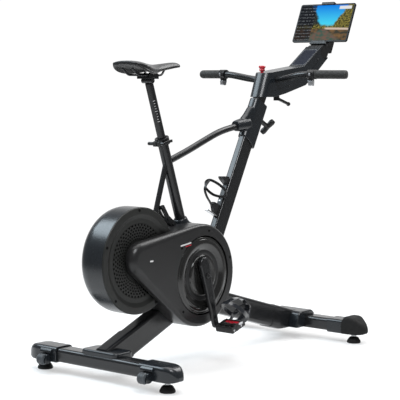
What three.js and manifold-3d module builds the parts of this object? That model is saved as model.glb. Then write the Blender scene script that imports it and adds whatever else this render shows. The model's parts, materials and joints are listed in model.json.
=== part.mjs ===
// Smart exercise bike: a welded steel frame on two cross stabilisers, a rear flywheel in a drum,
// a belt drive behind teardrop covers, a bicycle saddle on a quick-release post, and a console
// with a straight handlebar, a phone tray and a tablet holder.
// Millimetres. +X is forward, +Y is the rider's left, +Z is up. Design coordinates have the crank
// axis at X = 0 and the floor at Z = 0; the exported group moves the box's centre to X = 0.
import * as THREE from "three";
import { mergeVertices } from "three/addons/utils/BufferGeometryUtils.js";
import Module from "manifold-3d";

const wasm = await Module();
wasm.setup();

// ---------------------------------------------------------------- driving dimensions
const DEG = Math.PI / 180;
const GAP = 0.4; // clearance between pieces that touch
const BOX_CENTRE_X = 209.3; // middle of the whole bike along X

const FOOT = { y: 265, padRadius: 25, studRadius: 5, studTop: 52 };
const STABILISER = { depth: 66, height: 46, corner: 12, wall: 2.5, halfLength: 280, z: 59 };
const REAR_X = -384;
const FRONT_X = 665;
const ROLLER = { y: 218, x: -60, z: -13, radius: 18, width: 24, pin: 4 };

const REAR_BEAM = { from: [-410, 48.5], to: [25, 222.5], width: 50, height: 82, wall: 3 };
const FRONT_BEAM = {
  from: [20, 228.1],
  to: [660, 45.7],
  sleeveFrom: [488, 94.7],
  width: 58,
  height: 80,
  wall: 3,
};
const CASE = { x0: -30, x1: 58, z0: 172, z1: 346, halfWidth: 33, wall: 3 };

const CRANK = { z: 302, length: 170, angle: 12 * DEG, armY: 98, armThick: 14, flare: 0.07, spindle: 12.5 };
const PEDAL = { y: 177, length: 62, width: 72, thick: 24, axle: 7, tilt: 17 * DEG, hang: 127 * DEG };
const DRUM = { x: -282, z: 375, radius: 172, right: -60, left: 60, wall: 3 };
const FLYWHEEL = { radius: 140, right: -38, left: 8, pulley: 24, axle: 10 };
const BELT = { y0: -83, y1: -69, thick: 3, driveRadius: 105 };
const NOSE = { x: -294, z: 381, r: 57 };
const ROUND = { x: -4, z: 302, r: 172 };
const COVER = { right: -92, left: 74, edge: 12, wall: 3.5, discHole: 133.5 };

const SEAT = { x: 37.6, z: 345, lean: -19.6 * DEG, tube: 17.5, bore: 14.1, top: 440, post: 13.6 };
const SADDLE = { x: -180, z: 965, railY: 21, rail: 3.5 };
const STAY = { top: [-88, 676], bottom: [-163, 440], radius: 9 };
const TOP_TUBE_RADIUS = 11.5;

const HEAD = { x: 93.8, z: 250, lean: 27.5 * DEG, depth: 60, width: 30, corner: 8, wall: 3, top: 697 };
const BAR_POST = { depth: 53, width: 23, corner: 5, bottom: 500, top: 764 };
const SLIDER = { x0: 419, x1: 533, z0: 922, z1: 938, halfWidth: 15, travel: 45 };
const CONSOLE = {
  halfWidth: 35,
  rearX: 438,
  rearZ: 918,
  rearLean: 0.38,
  tiltX: 790,
  tiltZ: 1062,
  barrel: 26,
};
const BAR = { x: 480, z: 957, radius: 11, bendX: 464.5, bendY: 180, bendZ: 974.5, sweep: 13.5 * DEG };
const GRIP = { start: 30, end: 148, radius: 15.5 };
const TABLET = { x: 829, z: 1174, width: 248, height: 159.4, thick: 8, lean: 23.5 * DEG };

// ---------------------------------------------------------------- finishes
const finish = (color, roughness, metalness) =>
  new THREE.MeshStandardMaterial({ color, roughness, metalness });
const FINISH = {
  frame: finish(0x1d1f22, 0.5, 0.4),
  plastic: finish(0x2a2d31, 0.6, 0),
  gloss: finish(0x2c3540, 0.25, 0.1),
  steel: finish(0x9a9da0, 0.3, 0.9),
  alloy: finish(0xb8babc, 0.35, 0.9),
  iron: finish(0x4a4c4f, 0.5, 0.8),
  rubber: finish(0x141414, 0.85, 0),
  roller: finish(0x5e6266, 0.6, 0),
  saddle: finish(0x18191b, 0.55, 0),
  red: finish(0xb3202a, 0.35, 0),
  screen: finish(0x3b6f9a, 0.1, 0),
};

// ---------------------------------------------------------------- solids
// A closed geometry as a manifold solid that faces outwards.
function toSolid(geometry) {
  const bare = geometry.index ? geometry.toNonIndexed() : geometry.clone();
  bare.deleteAttribute("normal");
  bare.deleteAttribute("uv");
  const merged = mergeVertices(bare, 1e-3);
  const corners = [];
  for (let i = 0; i < merged.index.count; i += 3) {
    const [a, b, c] = [0, 1, 2].map((k) => merged.index.array[i + k]);
    if (a !== b && b !== c && c !== a) corners.push(a, b, c);
  }
  const build = (triVerts) =>
    new wasm.Manifold(
      new wasm.Mesh({ numProp: 3, vertProperties: merged.attributes.position.array, triVerts }),
    );
  const solid = build(new Uint32Array(corners));
  if (solid.volume() > 0) return solid;
  return build(new Uint32Array(corners.reverse()));
}

function toGeometry(solid) {
  const mesh = solid.getMesh();
  const geometry = new THREE.BufferGeometry();
  geometry.setAttribute("position", new THREE.BufferAttribute(mesh.vertProperties, 3));
  geometry.setIndex(new THREE.BufferAttribute(mesh.triVerts, 1));
  geometry.computeVertexNormals();
  return geometry;
}

const join = (...pieces) => toGeometry(pieces.map(toSolid).reduce((a, b) => a.add(b)));
const cut = (body, ...tools) =>
  toGeometry(tools.map(toSolid).reduce((a, b) => a.subtract(b), toSolid(body)));
const common = (a, b) => toGeometry(toSolid(a).intersect(toSolid(b)));

// ---------------------------------------------------------------- plain shapes
function box(dx, dy, dz, x = 0, y = 0, z = 0) {
  return new THREE.BoxGeometry(dx, dy, dz).translate(x, y, z);
}

// A box given by its limits along each axis.
function block([x0, x1], [y0, y1], [z0, z1]) {
  return box(x1 - x0, y1 - y0, z1 - z0, (x0 + x1) / 2, (y0 + y1) / 2, (z0 + z1) / 2);
}

function rod(radius, length, axis, x = 0, y = 0, z = 0, sides = 20) {
  const geometry = new THREE.CylinderGeometry(radius, radius, length, sides);
  if (axis === "x") geometry.rotateZ(-90 * DEG);
  if (axis === "z") geometry.rotateX(90 * DEG);
  return geometry.translate(x, y, z);
}

// A turned piece about the Y axis; the profile is a closed list of [radius, y].
function turned(profile, sides = 40) {
  const closed = profile[0][0] === 0 ? profile : [...profile, profile[0]];
  return new THREE.LatheGeometry(
    closed.map(([r, y]) => new THREE.Vector2(r, y)),
    sides,
  );
}

const turnedAboutZ = (profile, sides) => turned(profile, sides).rotateX(90 * DEG);
const outline = (points) => new THREE.Shape(points.map(([a, b]) => new THREE.Vector2(a, b)));

function roundedRect(width, height, radius) {
  const a = width / 2 - radius;
  const b = height / 2 - radius;
  const shape = new THREE.Shape();
  shape.absarc(a, b, radius, 0, 90 * DEG);
  shape.absarc(-a, b, radius, 90 * DEG, 180 * DEG);
  shape.absarc(-a, -b, radius, 180 * DEG, 270 * DEG);
  shape.absarc(a, -b, radius, 270 * DEG, 360 * DEG);
  return shape;
}

// The outline round two circles, as a belt runs round two pulleys, grown by a margin.
function beltOutline(small, large, margin = 0) {
  const dx = large.x - small.x;
  const dz = large.z - small.z;
  const heading = Math.atan2(dz, dx);
  const open = Math.acos((small.r - large.r) / Math.hypot(dx, dz));
  const shape = new THREE.Shape();
  shape.absarc(large.x, large.z, large.r + margin, heading - open, heading + open);
  shape.absarc(small.x, small.z, small.r + margin, heading + open, heading - open + 2 * Math.PI);
  return shape;
}

// An XZ outline made solid between two Y planes.
function slab(shape, y0, y1, curveSegments = 3) {
  return new THREE.ExtrudeGeometry(shape, { depth: y1 - y0, bevelEnabled: false, curveSegments })
    .rotateX(90 * DEG)
    .translate(0, y1, 0);
}

// An XY outline made solid upwards from a height.
function pillar(shape, z0, z1, curveSegments = 3) {
  return new THREE.ExtrudeGeometry(shape, { depth: z1 - z0, bevelEnabled: false, curveSegments })
    .translate(0, 0, z0);
}

// A YZ outline made solid between two X planes.
function plate(shape, x0, x1, curveSegments = 3) {
  const turn = new THREE.Matrix4().makeBasis(
    new THREE.Vector3(0, 1, 0),
    new THREE.Vector3(0, 0, 1),
    new THREE.Vector3(1, 0, 0),
  );
  return new THREE.ExtrudeGeometry(shape, { depth: x1 - x0, bevelEnabled: false, curveSegments })
    .applyMatrix4(turn)
    .translate(x0, 0, 0);
}

// A round rod of constant radius swept along a curve.
function pipe(path, radius, steps, sides = 8) {
  const points = Array.from({ length: sides }, (_, i) => {
    const a = (i / sides) * 2 * Math.PI;
    return [radius * Math.cos(a), radius * Math.sin(a)];
  });
  return new THREE.ExtrudeGeometry(outline(points), { steps, extrudePath: path });
}

const vec = ([x, y, z]) => new THREE.Vector3(x, y, z);
const spline = (points) => new THREE.CatmullRomCurve3(points.map(vec));

// A straight bar between two XZ points, with a rectangular section.
function bar(from, to, width, height, extra = 0) {
  const dx = to[0] - from[0];
  const dz = to[1] - from[1];
  return new THREE.BoxGeometry(Math.hypot(dx, dz) + 2 * extra, width, height)
    .rotateY(-Math.atan2(dz, dx))
    .translate((from[0] + to[0]) / 2, 0, (from[1] + to[1]) / 2);
}

function roundBar(from, to, radius, extra = 0) {
  const dx = to[0] - from[0];
  const dz = to[1] - from[1];
  return rod(radius, Math.hypot(dx, dz) + 2 * extra, "x")
    .rotateY(-Math.atan2(dz, dx))
    .translate((from[0] + to[0]) / 2, 0, (from[1] + to[1]) / 2);
}

// A solid through closed sections of equal point count, with flat ends.
function loft(sections) {
  const count = sections[0].length;
  const faces = [];
  const flat = sections[0].map(([, y, z]) => new THREE.Vector2(y, z));
  const cap = THREE.ShapeUtils.triangulateShape(flat, []);
  const last = (sections.length - 1) * count;
  cap.forEach(([a, b, c]) => faces.push(a, b, c, last + c, last + b, last + a));
  for (let s = 0; s < sections.length - 1; s++) {
    for (let i = 0; i < count; i++) {
      const a = s * count + i;
      const b = s * count + ((i + 1) % count);
      faces.push(b, a, b + count, a, a + count, b + count);
    }
  }
  const geometry = new THREE.BufferGeometry();
  geometry.setAttribute("position", new THREE.Float32BufferAttribute(sections.flat(2), 3));
  geometry.setIndex(faces);
  return geometry;
}

// ---------------------------------------------------------------- scene graph
const bike = new THREE.Group();
bike.position.x = -BOX_CENTRE_X;

function subgroup(x, y, z, parent = bike) {
  const group = new THREE.Group();
  group.position.set(x, y, z);
  parent.add(group);
  return group;
}

function part(parent, name, geometry, material, x = 0, y = 0, z = 0) {
  const mesh = new THREE.Mesh(toGeometry(toSolid(geometry)), material);
  mesh.name = name;
  mesh.position.set(x, y, z);
  parent.add(mesh);
  return mesh;
}

const sides = [
  { label: "right", s: -1 },
  { label: "left", s: 1 },
];

// Mirrors a span on the rider's left to either side.
const span = (s, near, far) => (s > 0 ? [near, far] : [-far, -near]);

// ---------------------------------------------------------------- base
const tubeFit = (length) =>
  slab(
    roundedRect(STABILISER.depth + 2 * GAP, STABILISER.height + 2 * GAP, STABILISER.corner),
    -length,
    length,
  );

function stabiliserTube() {
  const { depth, height, corner, wall, halfLength } = STABILISER;
  const outer = slab(roundedRect(depth, height, corner), -halfLength, halfLength);
  const inner = slab(
    roundedRect(depth - 2 * wall, height - 2 * wall, corner - wall),
    -halfLength - 1,
    halfLength + 1,
  );
  const studHoles = sides.map(({ s }) =>
    rod(FOOT.studRadius + 0.6, 16, "z", 0, s * FOOT.y, -height / 2, 12),
  );
  return cut(outer, inner, ...studHoles);
}

// The end caps are rounded in plan; each has its own side profile across the bike.
const CAP_PLAN = [[-40, 178], [-40, 268], [-30, 304], [-13, 319], [13, 319], [30, 304], [40, 268], [40, 178]];

function capBody(s, profile) {
  const across = plate(outline(profile.map(([y, z]) => [s * y, z])), -40, 40);
  const plan = pillar(outline(CAP_PLAN.map(([x, y]) => [x, s * y])), -60, 60);
  const bevelled = slab(
    outline([
      [-41, -40],
      [-41, 15],
      [-30, 45],
      [30, 45],
      [41, 15],
      [41, -40],
    ]),
    -340,
    340,
  );
  const studHole = rod(FOOT.studRadius + 0.6, 40, "z", 0, s * FOOT.y, -30, 12);
  return cut(common(common(across, plan), bevelled), tubeFit(STABILISER.halfLength + GAP), studHole);
}

function rearCap(s) {
  const body = capBody(s, [[178, -24], [178, 27], [296, 27], [312, 18], [322, 2], [322, -12], [308, -24]]);
  const cheekOffset = ROLLER.width / 2 + 0.6 + 2.5;
  const cheeks = [-1, 1].map((k) =>
    box(30, 5, 30, ROLLER.x + 9, s * ROLLER.y + k * cheekOffset, ROLLER.z),
  );
  const pin = rod(ROLLER.pin, 2 * cheekOffset, "y", ROLLER.x, s * ROLLER.y, ROLLER.z, 12);
  return cut(join(body, ...cheeks, pin), tubeFit(STABILISER.halfLength + GAP));
}

function frontCap(s) {
  return capBody(s, [
    [170, -26],
    [170, 25.5],
    [236, 25.5],
    [242, 38],
    [276, 38],
    [292, 24],
    [312, 12],
    [322, -4],
    [322, -14],
    [306, -26],
  ]);
}

// A cover over the joint between a beam and its stabiliser.
function baseCover(profile, halfWidth, corner, beam) {
  const xs = profile.map(([x]) => x);
  const [x0, x1] = [Math.min(...xs), Math.max(...xs)];
  const plan = pillar(roundedRect(x1 - x0, 2 * halfWidth, corner), -60, 60).translate((x0 + x1) / 2, 0, 0);
  const body = common(slab(outline(profile), -halfWidth, halfWidth), plan);
  return cut(body, tubeFit(halfWidth + 5), beam);
}

function levellingFoot() {
  const { padRadius, studRadius, studTop } = FOOT;
  return turnedAboutZ(
    [
      [0, 0],
      [padRadius - 1, 0],
      [padRadius, 2],
      [padRadius, 7],
      [17, 20],
      [studRadius, 20],
      [studRadius, studTop],
      [0, studTop],
    ],
    16,
  );
}

const roller = () =>
  turned(
    [
      [ROLLER.pin + 0.5, -ROLLER.width / 2],
      [ROLLER.radius - 2, -ROLLER.width / 2],
      [ROLLER.radius, -ROLLER.width / 2 + 2],
      [ROLLER.radius, ROLLER.width / 2 - 2],
      [ROLLER.radius - 2, ROLLER.width / 2],
      [ROLLER.pin + 0.5, ROLLER.width / 2],
    ],
    18,
  );

const BEAM_END = -395; // the rear beam stops short of the back of its stabiliser
const SLEEVE = 2; // how far a beam's end sleeve stands out on each side
const beamFit = ({ from, to, width, height }) =>
  bar(from, to, width + 2 * (SLEEVE + GAP), height + 2 * (SLEEVE + GAP), 5);

function buildBase() {
  for (const [end, x] of [
    ["rear", REAR_X],
    ["front", FRONT_X],
  ]) {
    const axle = subgroup(x, 0, STABILISER.z);
    part(axle, `${end}_stabiliser`, stabiliserTube(), FINISH.frame);
    for (const { label, s } of sides) {
      const cap = end === "rear" ? rearCap(s) : frontCap(s);
      part(axle, `${end}_end_cap_${label}`, cap, FINISH.gloss);
      part(axle, `${end}_foot_${label}`, levellingFoot(), FINISH.rubber, 0, s * FOOT.y, -STABILISER.z);
      if (end === "rear") {
        part(axle, `transport_roller_${label}`, roller(), FINISH.roller, ROLLER.x, s * ROLLER.y, ROLLER.z);
      }
    }
    const ahead = block([BEAM_END - GAP, 900], [-60, 60], [-100, 500]);
    const fit = beamFit(end === "rear" ? REAR_BEAM : FRONT_BEAM);
    const beam = common(fit, ahead).translate(-x, 0, -STABILISER.z);
    const cover =
      end === "rear"
        ? baseCover([[-23, 12], [-23, 31], [-17, 37], [48, 37], [54, 31], [54, 12]], 77, 16, beam)
        : baseCover(
            [[-84, -18], [-80, 10], [-70, 34], [-58, 40], [12, 40], [26, 30], [30, 8], [30, -18]],
            71,
            8,
            beam,
          );
    part(axle, `${end}_base_cover`, cover, FINISH.gloss);
  }
}

// ---------------------------------------------------------------- frame
const lean = (geometry, axis) => geometry.rotateY(axis.lean).translate(axis.x, 0, axis.z);
const seatBore = () => lean(rod(SEAT.tube + GAP, 900, "z", 0, 0, 300), SEAT);
const headFit = () =>
  lean(
    pillar(roundedRect(HEAD.depth + 2 * GAP, HEAD.width + 2 * GAP, HEAD.corner), -40, HEAD.top + GAP),
    HEAD,
  );

const topTubePath = spline([
  [-66, 0, 685],
  [30, 0, 716],
  [120, 0, 748],
  [190, 0, 771],
  [262, 0, 786],
  [340, 0, 796],
]);

// The rear beam and the box that holds the crank bearings are welded into one piece.
function rearBeam() {
  const { from, to, width, height, wall: w } = REAR_BEAM;
  const { x0, x1, z0, z1, halfWidth, wall } = CASE;
  const inner = bar(from, to, width - 2 * w, height - 2 * w, 4);
  const foot = bar(from, [-290, 96.5], width + 2 * SLEEVE, height + 2 * SLEEVE);
  const seam = slab(outline([[-420, 0], [-279, 0], [-279, 68], [-306, 140], [-306, 200], [-420, 200]]), -40, 40);
  const outer = join(
    bar(from, to, width, height),
    common(foot, seam),
    block([x0, x1], [-halfWidth, halfWidth], [z0, z1]),
  );
  const hollow = block(
    [x0 + wall, x1 - wall],
    [wall - halfWidth, halfWidth - wall],
    [z0 - 20, z1 - wall],
  );
  const tubeEnd = REAR_X + STABILISER.depth / 2 + GAP;
  const shell = cut(
    outer,
    inner,
    hollow,
    block([-600, tubeEnd], [-60, 60], [-50, STABILISER.z + STABILISER.height / 2 + GAP]),
    block([-600, BEAM_END], [-60, 60], [0, 200]),
    block([-600, 0], [-60, 60], [0, 42]),
  );
  const bearingShell = rod(20, 74, "y", 0, 0, CRANK.z);
  return cut(join(shell, bearingShell), rod(CRANK.spindle + 0.5, 100, "y", 0, 0, CRANK.z));
}

function frontBeam() {
  const { from, to, width, height, wall, sleeveFrom } = FRONT_BEAM;
  const outer = join(
    bar(from, to, width, height),
    bar(sleeveFrom, to, width + 2 * SLEEVE, height + 2 * SLEEVE),
  );
  return cut(
    outer,
    bar(from, to, width - 2 * wall, height - 2 * wall, 20),
    block([-100, CASE.x1 + GAP], [-60, 60], [0, 400]),
    block([FRONT_X - STABILISER.depth / 2 - GAP, 900], [-60, 60], [-100, 400]),
    block([300, 900], [-60, 60], [-100, 40]),
  );
}

function topTube() {
  return cut(pipe(topTubePath, TOP_TUBE_RADIUS, 9, 14), seatBore(), headFit());
}

function rearStay() {
  const drum = rod(DRUM.radius + GAP, 200, "y", DRUM.x, 0, DRUM.z, 40);
  return cut(roundBar(STAY.top, STAY.bottom, STAY.radius), seatBore(), drum);
}

function headPost() {
  const { depth, width, corner, wall, top } = HEAD;
  const tube = cut(
    pillar(roundedRect(depth, width, corner), -30, top),
    pillar(roundedRect(depth - 2 * wall, width - 2 * wall, corner - wall), -40, top + 10),
  );
  const gusset = slab(outline([[176, 352], [221, 400], [221, 426], [204, 434], [176, 434]]), -12, 12);
  return cut(
    join(lean(tube, HEAD), gusset),
    lean(pillar(roundedRect(depth - 2 * wall, width - 2 * wall, corner - wall), 40, 300), HEAD),
    beamFit(FRONT_BEAM),
    block([-100, 400], [-60, 60], [0, 225]),
    block([-100, CASE.x1 + GAP], [-60, 60], [0, CASE.z1 + GAP]),
  );
}

function buildFrame() {
  part(bike, "rear_beam", rearBeam(), FINISH.frame);
  part(bike, "front_beam", frontBeam(), FINISH.frame);
  part(bike, "top_tube", topTube(), FINISH.frame);
  part(bike, "rear_stay", rearStay(), FINISH.frame);
  part(bike, "head_post", headPost(), FINISH.frame);
}

// ---------------------------------------------------------------- flywheel and its drum
function drumShell() {
  const { radius: r, right, left, wall: w } = DRUM;
  return turned(
    [
      [0, left - w],
      [124, left - w],
      [148, left - 11],
      [r - 7, 32],
      [r - w, 8],
      [r - w, right + 4],
      [r, right + 4],
      [r, 8],
      [r - 4, 34],
      [152, left - 8],
      [126, left],
      [0, left],
    ],
    40,
  );
}

// The right face of the drum, dished inside its rim, with room for the pulley in the middle.
function drumGrille() {
  const { radius: r, right } = DRUM;
  return turned(
    [
      [40, right + 7],
      [130, right + 7],
      [138, right],
      [r - 3, right],
      [r, right + 2],
      [r, right + 3.5],
      [140, right + 3.5],
      [132, right + 10],
      [40, right + 10],
    ],
    36,
  );
}

function flywheel() {
  const { radius, right, left, pulley, axle } = FLYWHEEL;
  const bore = axle + 0.3;
  return turned(
    [
      [bore, BELT.y0 - 1],
      [pulley, BELT.y0 - 1],
      [pulley, BELT.y1 + 1],
      [18, BELT.y1 + 1],
      [18, -20],
      [110, -20],
      [112, right],
      [radius, right],
      [radius, left],
      [112, left],
      [110, -10],
      [bore, -10],
    ],
    30,
  );
}

// The magnet carrier hugs the rim of the flywheel and swings on a pivot at its front end.
const YOKE = { inner: 146, outer: 158, from: 100 * DEG, to: 150 * DEG, y0: -34, y1: 4 };

function brakeYoke() {
  const shape = new THREE.Shape();
  shape.absarc(0, 0, YOKE.outer, YOKE.from, YOKE.to, false);
  shape.absarc(0, 0, YOKE.inner, YOKE.to, YOKE.from, true);
  return slab(shape, YOKE.y0, YOKE.y1, 8);
}

function buildFlywheel() {
  const drum = subgroup(DRUM.x, 0, DRUM.z);
  part(drum, "drum_shell", drumShell(), FINISH.gloss);
  part(drum, "drum_grille", drumGrille(), FINISH.plastic);
  part(drum, "flywheel", flywheel(), FINISH.iron);
  part(drum, "brake_yoke", brakeYoke(), FINISH.steel);
  const axleEnds = [COVER.right + COVER.wall + 1, DRUM.left - DRUM.wall - GAP];
  const axle = rod(FLYWHEEL.axle, axleEnds[1] - axleEnds[0], "y", 0, (axleEnds[0] + axleEnds[1]) / 2, 0);
  part(drum, "flywheel_axle", axle, FINISH.steel);
}

// ---------------------------------------------------------------- covers
// A teardrop block with rounded rims; its faces are at the given Y planes.
function teardrop(y0, y1, margin, edge) {
  return new THREE.ExtrudeGeometry(beltOutline(NOSE, ROUND, margin), {
    depth: y1 - y0 - 2 * edge,
    bevelThickness: edge,
    bevelSize: edge,
    bevelOffset: -edge,
    bevelSegments: 1,
    curveSegments: 8,
  })
    .rotateX(90 * DEG)
    .translate(0, y1 - edge, 0);
}

// One half of the drive housing, from the middle plane to its outer face.
function cover(y0, y1, hole, holeDepth) {
  const face = y0 < 0 ? y0 : y1;
  const s = Math.sign(face);
  const { wall, edge } = COVER;
  const outer = teardrop(...span(s, -30, Math.abs(face)), 0, edge);
  const inner = teardrop(...span(s, -60, Math.abs(face) - wall), -wall, edge);
  return cut(
    outer,
    inner,
    block([-600, 400], s < 0 ? [-0.3, 100] : [-100, 0.3], [0, 700]),
    rod(DRUM.radius + 1, DRUM.left - DRUM.right + 1, "y", DRUM.x, (DRUM.left + DRUM.right) / 2, DRUM.z, 40),
    rod(hole, holeDepth, "y", 0, face, CRANK.z, 40),
    beamFit(REAR_BEAM),
    beamFit(FRONT_BEAM),
    seatBore(),
    headFit(),
  );
}

// A flared collar where the seat tube enters the housing.
function seatBoot() {
  const collar = turnedAboutZ(
    [
      [SEAT.tube + GAP, 104],
      [36, 104],
      [37, 124],
      [30, 130],
      [25, 142],
      [22, 153],
      [SEAT.tube + GAP, 153],
    ],
    28,
  );
  return cut(lean(collar, SEAT), slab(beltOutline(NOSE, ROUND, 1.2), -100, 100, 12));
}

function buildCovers() {
  part(bike, "right_cover", cover(COVER.right, 0, COVER.discHole, 40), FINISH.plastic);
  part(bike, "left_cover", cover(0, COVER.left, 36, 40), FINISH.plastic);
  part(bike, "seat_tube_boot", seatBoot(), FINISH.rubber);
}

// ---------------------------------------------------------------- crank, belt and pedals
function driveBelt() {
  const small = { x: DRUM.x, z: DRUM.z, r: FLYWHEEL.pulley + 1.2 };
  const large = { x: 0, z: CRANK.z, r: BELT.driveRadius + 1.3 };
  return cut(
    slab(beltOutline(small, large, BELT.thick), BELT.y0, BELT.y1, 14),
    slab(beltOutline(small, large), BELT.y0 - 5, BELT.y1 + 5, 14),
  );
}

// The spindle runs through both bearings and carries the large pulley.
function spindleAndPulley() {
  const { armY, spindle } = CRANK;
  return turned(
    [
      [0, -armY - 1],
      [spindle, -armY - 1],
      [spindle, BELT.y0 - 0.5],
      [BELT.driveRadius, BELT.y0 - 0.5],
      [BELT.driveRadius, BELT.y1 + 0.5],
      [spindle, BELT.y1 + 0.5],
      [spindle, armY + 1],
      [0, armY + 1],
    ],
    30,
  );
}

// The dished disc that turns with the right crank and closes the round hole in the cover.
function crankDisc() {
  return turned(
    [
      [CRANK.spindle + GAP, -86],
      [60, -86],
      [131, -88],
      [131, -90],
      [122, -94],
      [100, -94],
      [60, -89],
      [46, -91],
      [CRANK.spindle + GAP, -91],
    ],
    36,
  );
}

// The arm hangs from the spindle towards its pedal, which is at the far end of local -Z.
function crankArm(s) {
  const { armY, armThick, length, flare, spindle } = CRANK;
  const crown = { x: 0, z: 40, r: 24 };
  const end = { x: 0, z: -length, r: 12.5 };
  const spread = new THREE.Matrix4().makeShear(0, 0, 0, 0, 0, -s * flare);
  const blade = slab(beltOutline(end, crown), ...span(s, armY, armY + armThick), 8).applyMatrix4(spread);
  const socket = rod(spindle + GAP, 12, "y", 0, s * (armY - 4), 0);
  const axleStart = armY + flare * length + 6;
  const axleLength = PEDAL.y + PEDAL.width / 2 - 2 - axleStart;
  const axleY = s * (axleStart + axleLength / 2);
  return join(cut(blade, socket), rod(PEDAL.axle, axleLength, "y", 0, axleY, -CRANK.length, 14));
}

function pedal() {
  const { length, width, thick, axle } = PEDAL;
  const windows = [-1, 1].map((k) => box(12, width - 16, thick + 2, k * 19));
  const body = cut(box(length, width, thick), ...windows);
  return cut(body, rod(axle + 0.4, width + 2, "y", 0, 0, 0, 14));
}

// A toe cage of flat strips: a bow round the toe, a ridge over it and an arch rising from the bow.
function toeCage() {
  const front = PEDAL.length / 2 + 2.6;
  const bow = spline([
    [front, -24, 0],
    [front + 30, -30, 8],
    [front + 62, -20, 22],
    [front + 72, 0, 28],
    [front + 62, 20, 22],
    [front + 30, 30, 8],
    [front, 24, 0],
  ]);
  const ridge = spline([
    [front + 72, 0, 28],
    [front + 56, 0, 58],
    [front + 26, 0, 76],
    [6, 0, 84],
  ]);
  const arch = spline([
    [front + 28, -30, 9],
    [front + 7, -38, 38],
    [14, -25, 74],
    [6, 0, 84],
    [14, 25, 74],
    [front + 7, 38, 38],
    [front + 28, 30, 9],
  ]);
  const clip = box(4.5, 54, 16, front + 0.2, 0, 0);
  return join(pipe(bow, 3, 10, 5), pipe(ridge, 3, 5, 5), pipe(arch, 3, 12, 5), clip);
}

// The right pedal is level for a foot, with its nose up a little; the left one hangs cage down.
function buildDrive() {
  const axis = subgroup(0, 0, CRANK.z);
  part(bike, "drive_belt", driveBelt(), FINISH.rubber);
  part(axis, "crank_spindle", spindleAndPulley(), FINISH.steel);
  part(axis, "crank_disc", crankDisc(), FINISH.gloss);
  for (const { label, s } of sides) {
    const turn = s < 0 ? -CRANK.angle : Math.PI - CRANK.angle;
    const arm = part(axis, `crank_arm_${label}`, crankArm(s), FINISH.frame);
    arm.rotation.y = turn;
    const reach = new THREE.Vector3(0, 0, -CRANK.length).applyAxisAngle(vec([0, 1, 0]), turn);
    const platform = subgroup(reach.x, s * PEDAL.y, reach.z, axis);
    platform.rotation.y = s < 0 ? -PEDAL.tilt : PEDAL.hang;
    part(platform, `pedal_${label}`, pedal(), FINISH.plastic);
    part(platform, `toe_cage_${label}`, toeCage(), FINISH.plastic);
  }
}

// ---------------------------------------------------------------- seat
function seatTube() {
  const middle = (SEAT.top + 8) / 2;
  const length = SEAT.top - 8;
  return cut(
    rod(SEAT.tube, length, "z", 0, 0, middle, 28),
    rod(SEAT.bore, length + 4, "z", 0, 0, middle, 28),
  );
}

function seatClamp() {
  const ring = rod(24, 24, "z", 0, 0, SEAT.top - 10, 28);
  const ears = box(16, 32, 16, -24, 0, SEAT.top - 10);
  const nut = rod(6, 26, "y", -26, 26, SEAT.top - 10, 12);
  const slit = box(30, 2, 40, -26, 0, SEAT.top - 10);
  return cut(join(ring, ears, nut), rod(SEAT.tube + GAP, 60, "z", 0, 0, SEAT.top - 10, 28), slit);
}

function seatLever() {
  const hub = box(11, 14, 11, 0, -7, 0);
  const handle = box(48, 6, 10, 18, -11.5, 0);
  return join(hub, handle);
}

// The post ends in a level barrel that the saddle clamp tilts on.
function seatPost() {
  const top = (SADDLE.z - 24 - SEAT.z) / Math.cos(SEAT.lean);
  const bottom = SEAT.top - 180;
  const post = lean(rod(SEAT.post, top - bottom, "z", 0, 0, (top + bottom) / 2, 28), SEAT);
  return join(post, rod(9.5, 44, "y", SADDLE.x, 0, SADDLE.z - 17));
}

const straightRails = () =>
  [-1, 1].map((k) => rod(SADDLE.rail + 0.9, 120, "x", 0, k * SADDLE.railY, 0, 10));

function saddleClamp() {
  const side = outline([[-24, -12], [-24, 4], [-18, 6.5], [18, 6.5], [24, 4], [24, -12]]);
  const body = slab(side, -26.4, 26.4);
  return cut(body, rod(9.5 + GAP, 80, "y", 0, 0, -17), ...straightRails());
}

function saddleRails() {
  const rails = [-1, 1].map((k) =>
    pipe(
      spline([
        [-98, k * 21, 21],
        [-86, k * 21, 11],
        [-70, k * 21, 1],
        [-50, k * 21, 0],
        [-20, k * 21, 0],
        [10, k * 21, 0],
        [34, k * 21, 0],
        [48, k * 19, 4],
        [62, k * 14, 14],
        [76, k * 9, 22],
      ]),
      SADDLE.rail,
      16,
      7,
    ),
  );
  return join(...rails, box(12, 24, 6, 78, 0, 23));
}

// Half width and the heights of the crown, rim and skirt of the saddle, at stations along X.
const SADDLE_STATIONS = [
  { x: -115, half: 44, crown: 43, rim: 38, skirt: 31 },
  { x: -108, half: 56, crown: 45, rim: 38, skirt: 26 },
  { x: -92, half: 66, crown: 45, rim: 34, skirt: 16 },
  { x: -70, half: 68, crown: 44, rim: 28, skirt: 7 },
  { x: -40, half: 60, crown: 40, rim: 20, skirt: 2 },
  { x: -5, half: 45, crown: 35, rim: 17, skirt: 4 },
  { x: 30, half: 32, crown: 35, rim: 19, skirt: 12 },
  { x: 75, half: 24, crown: 39, rim: 25, skirt: 20 },
  { x: 118, half: 21, crown: 43, rim: 31, skirt: 24 },
  { x: 144, half: 16, crown: 41, rim: 32, skirt: 26 },
  { x: 154, half: 8, crown: 37, rim: 32, skirt: 29 },
];

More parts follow.
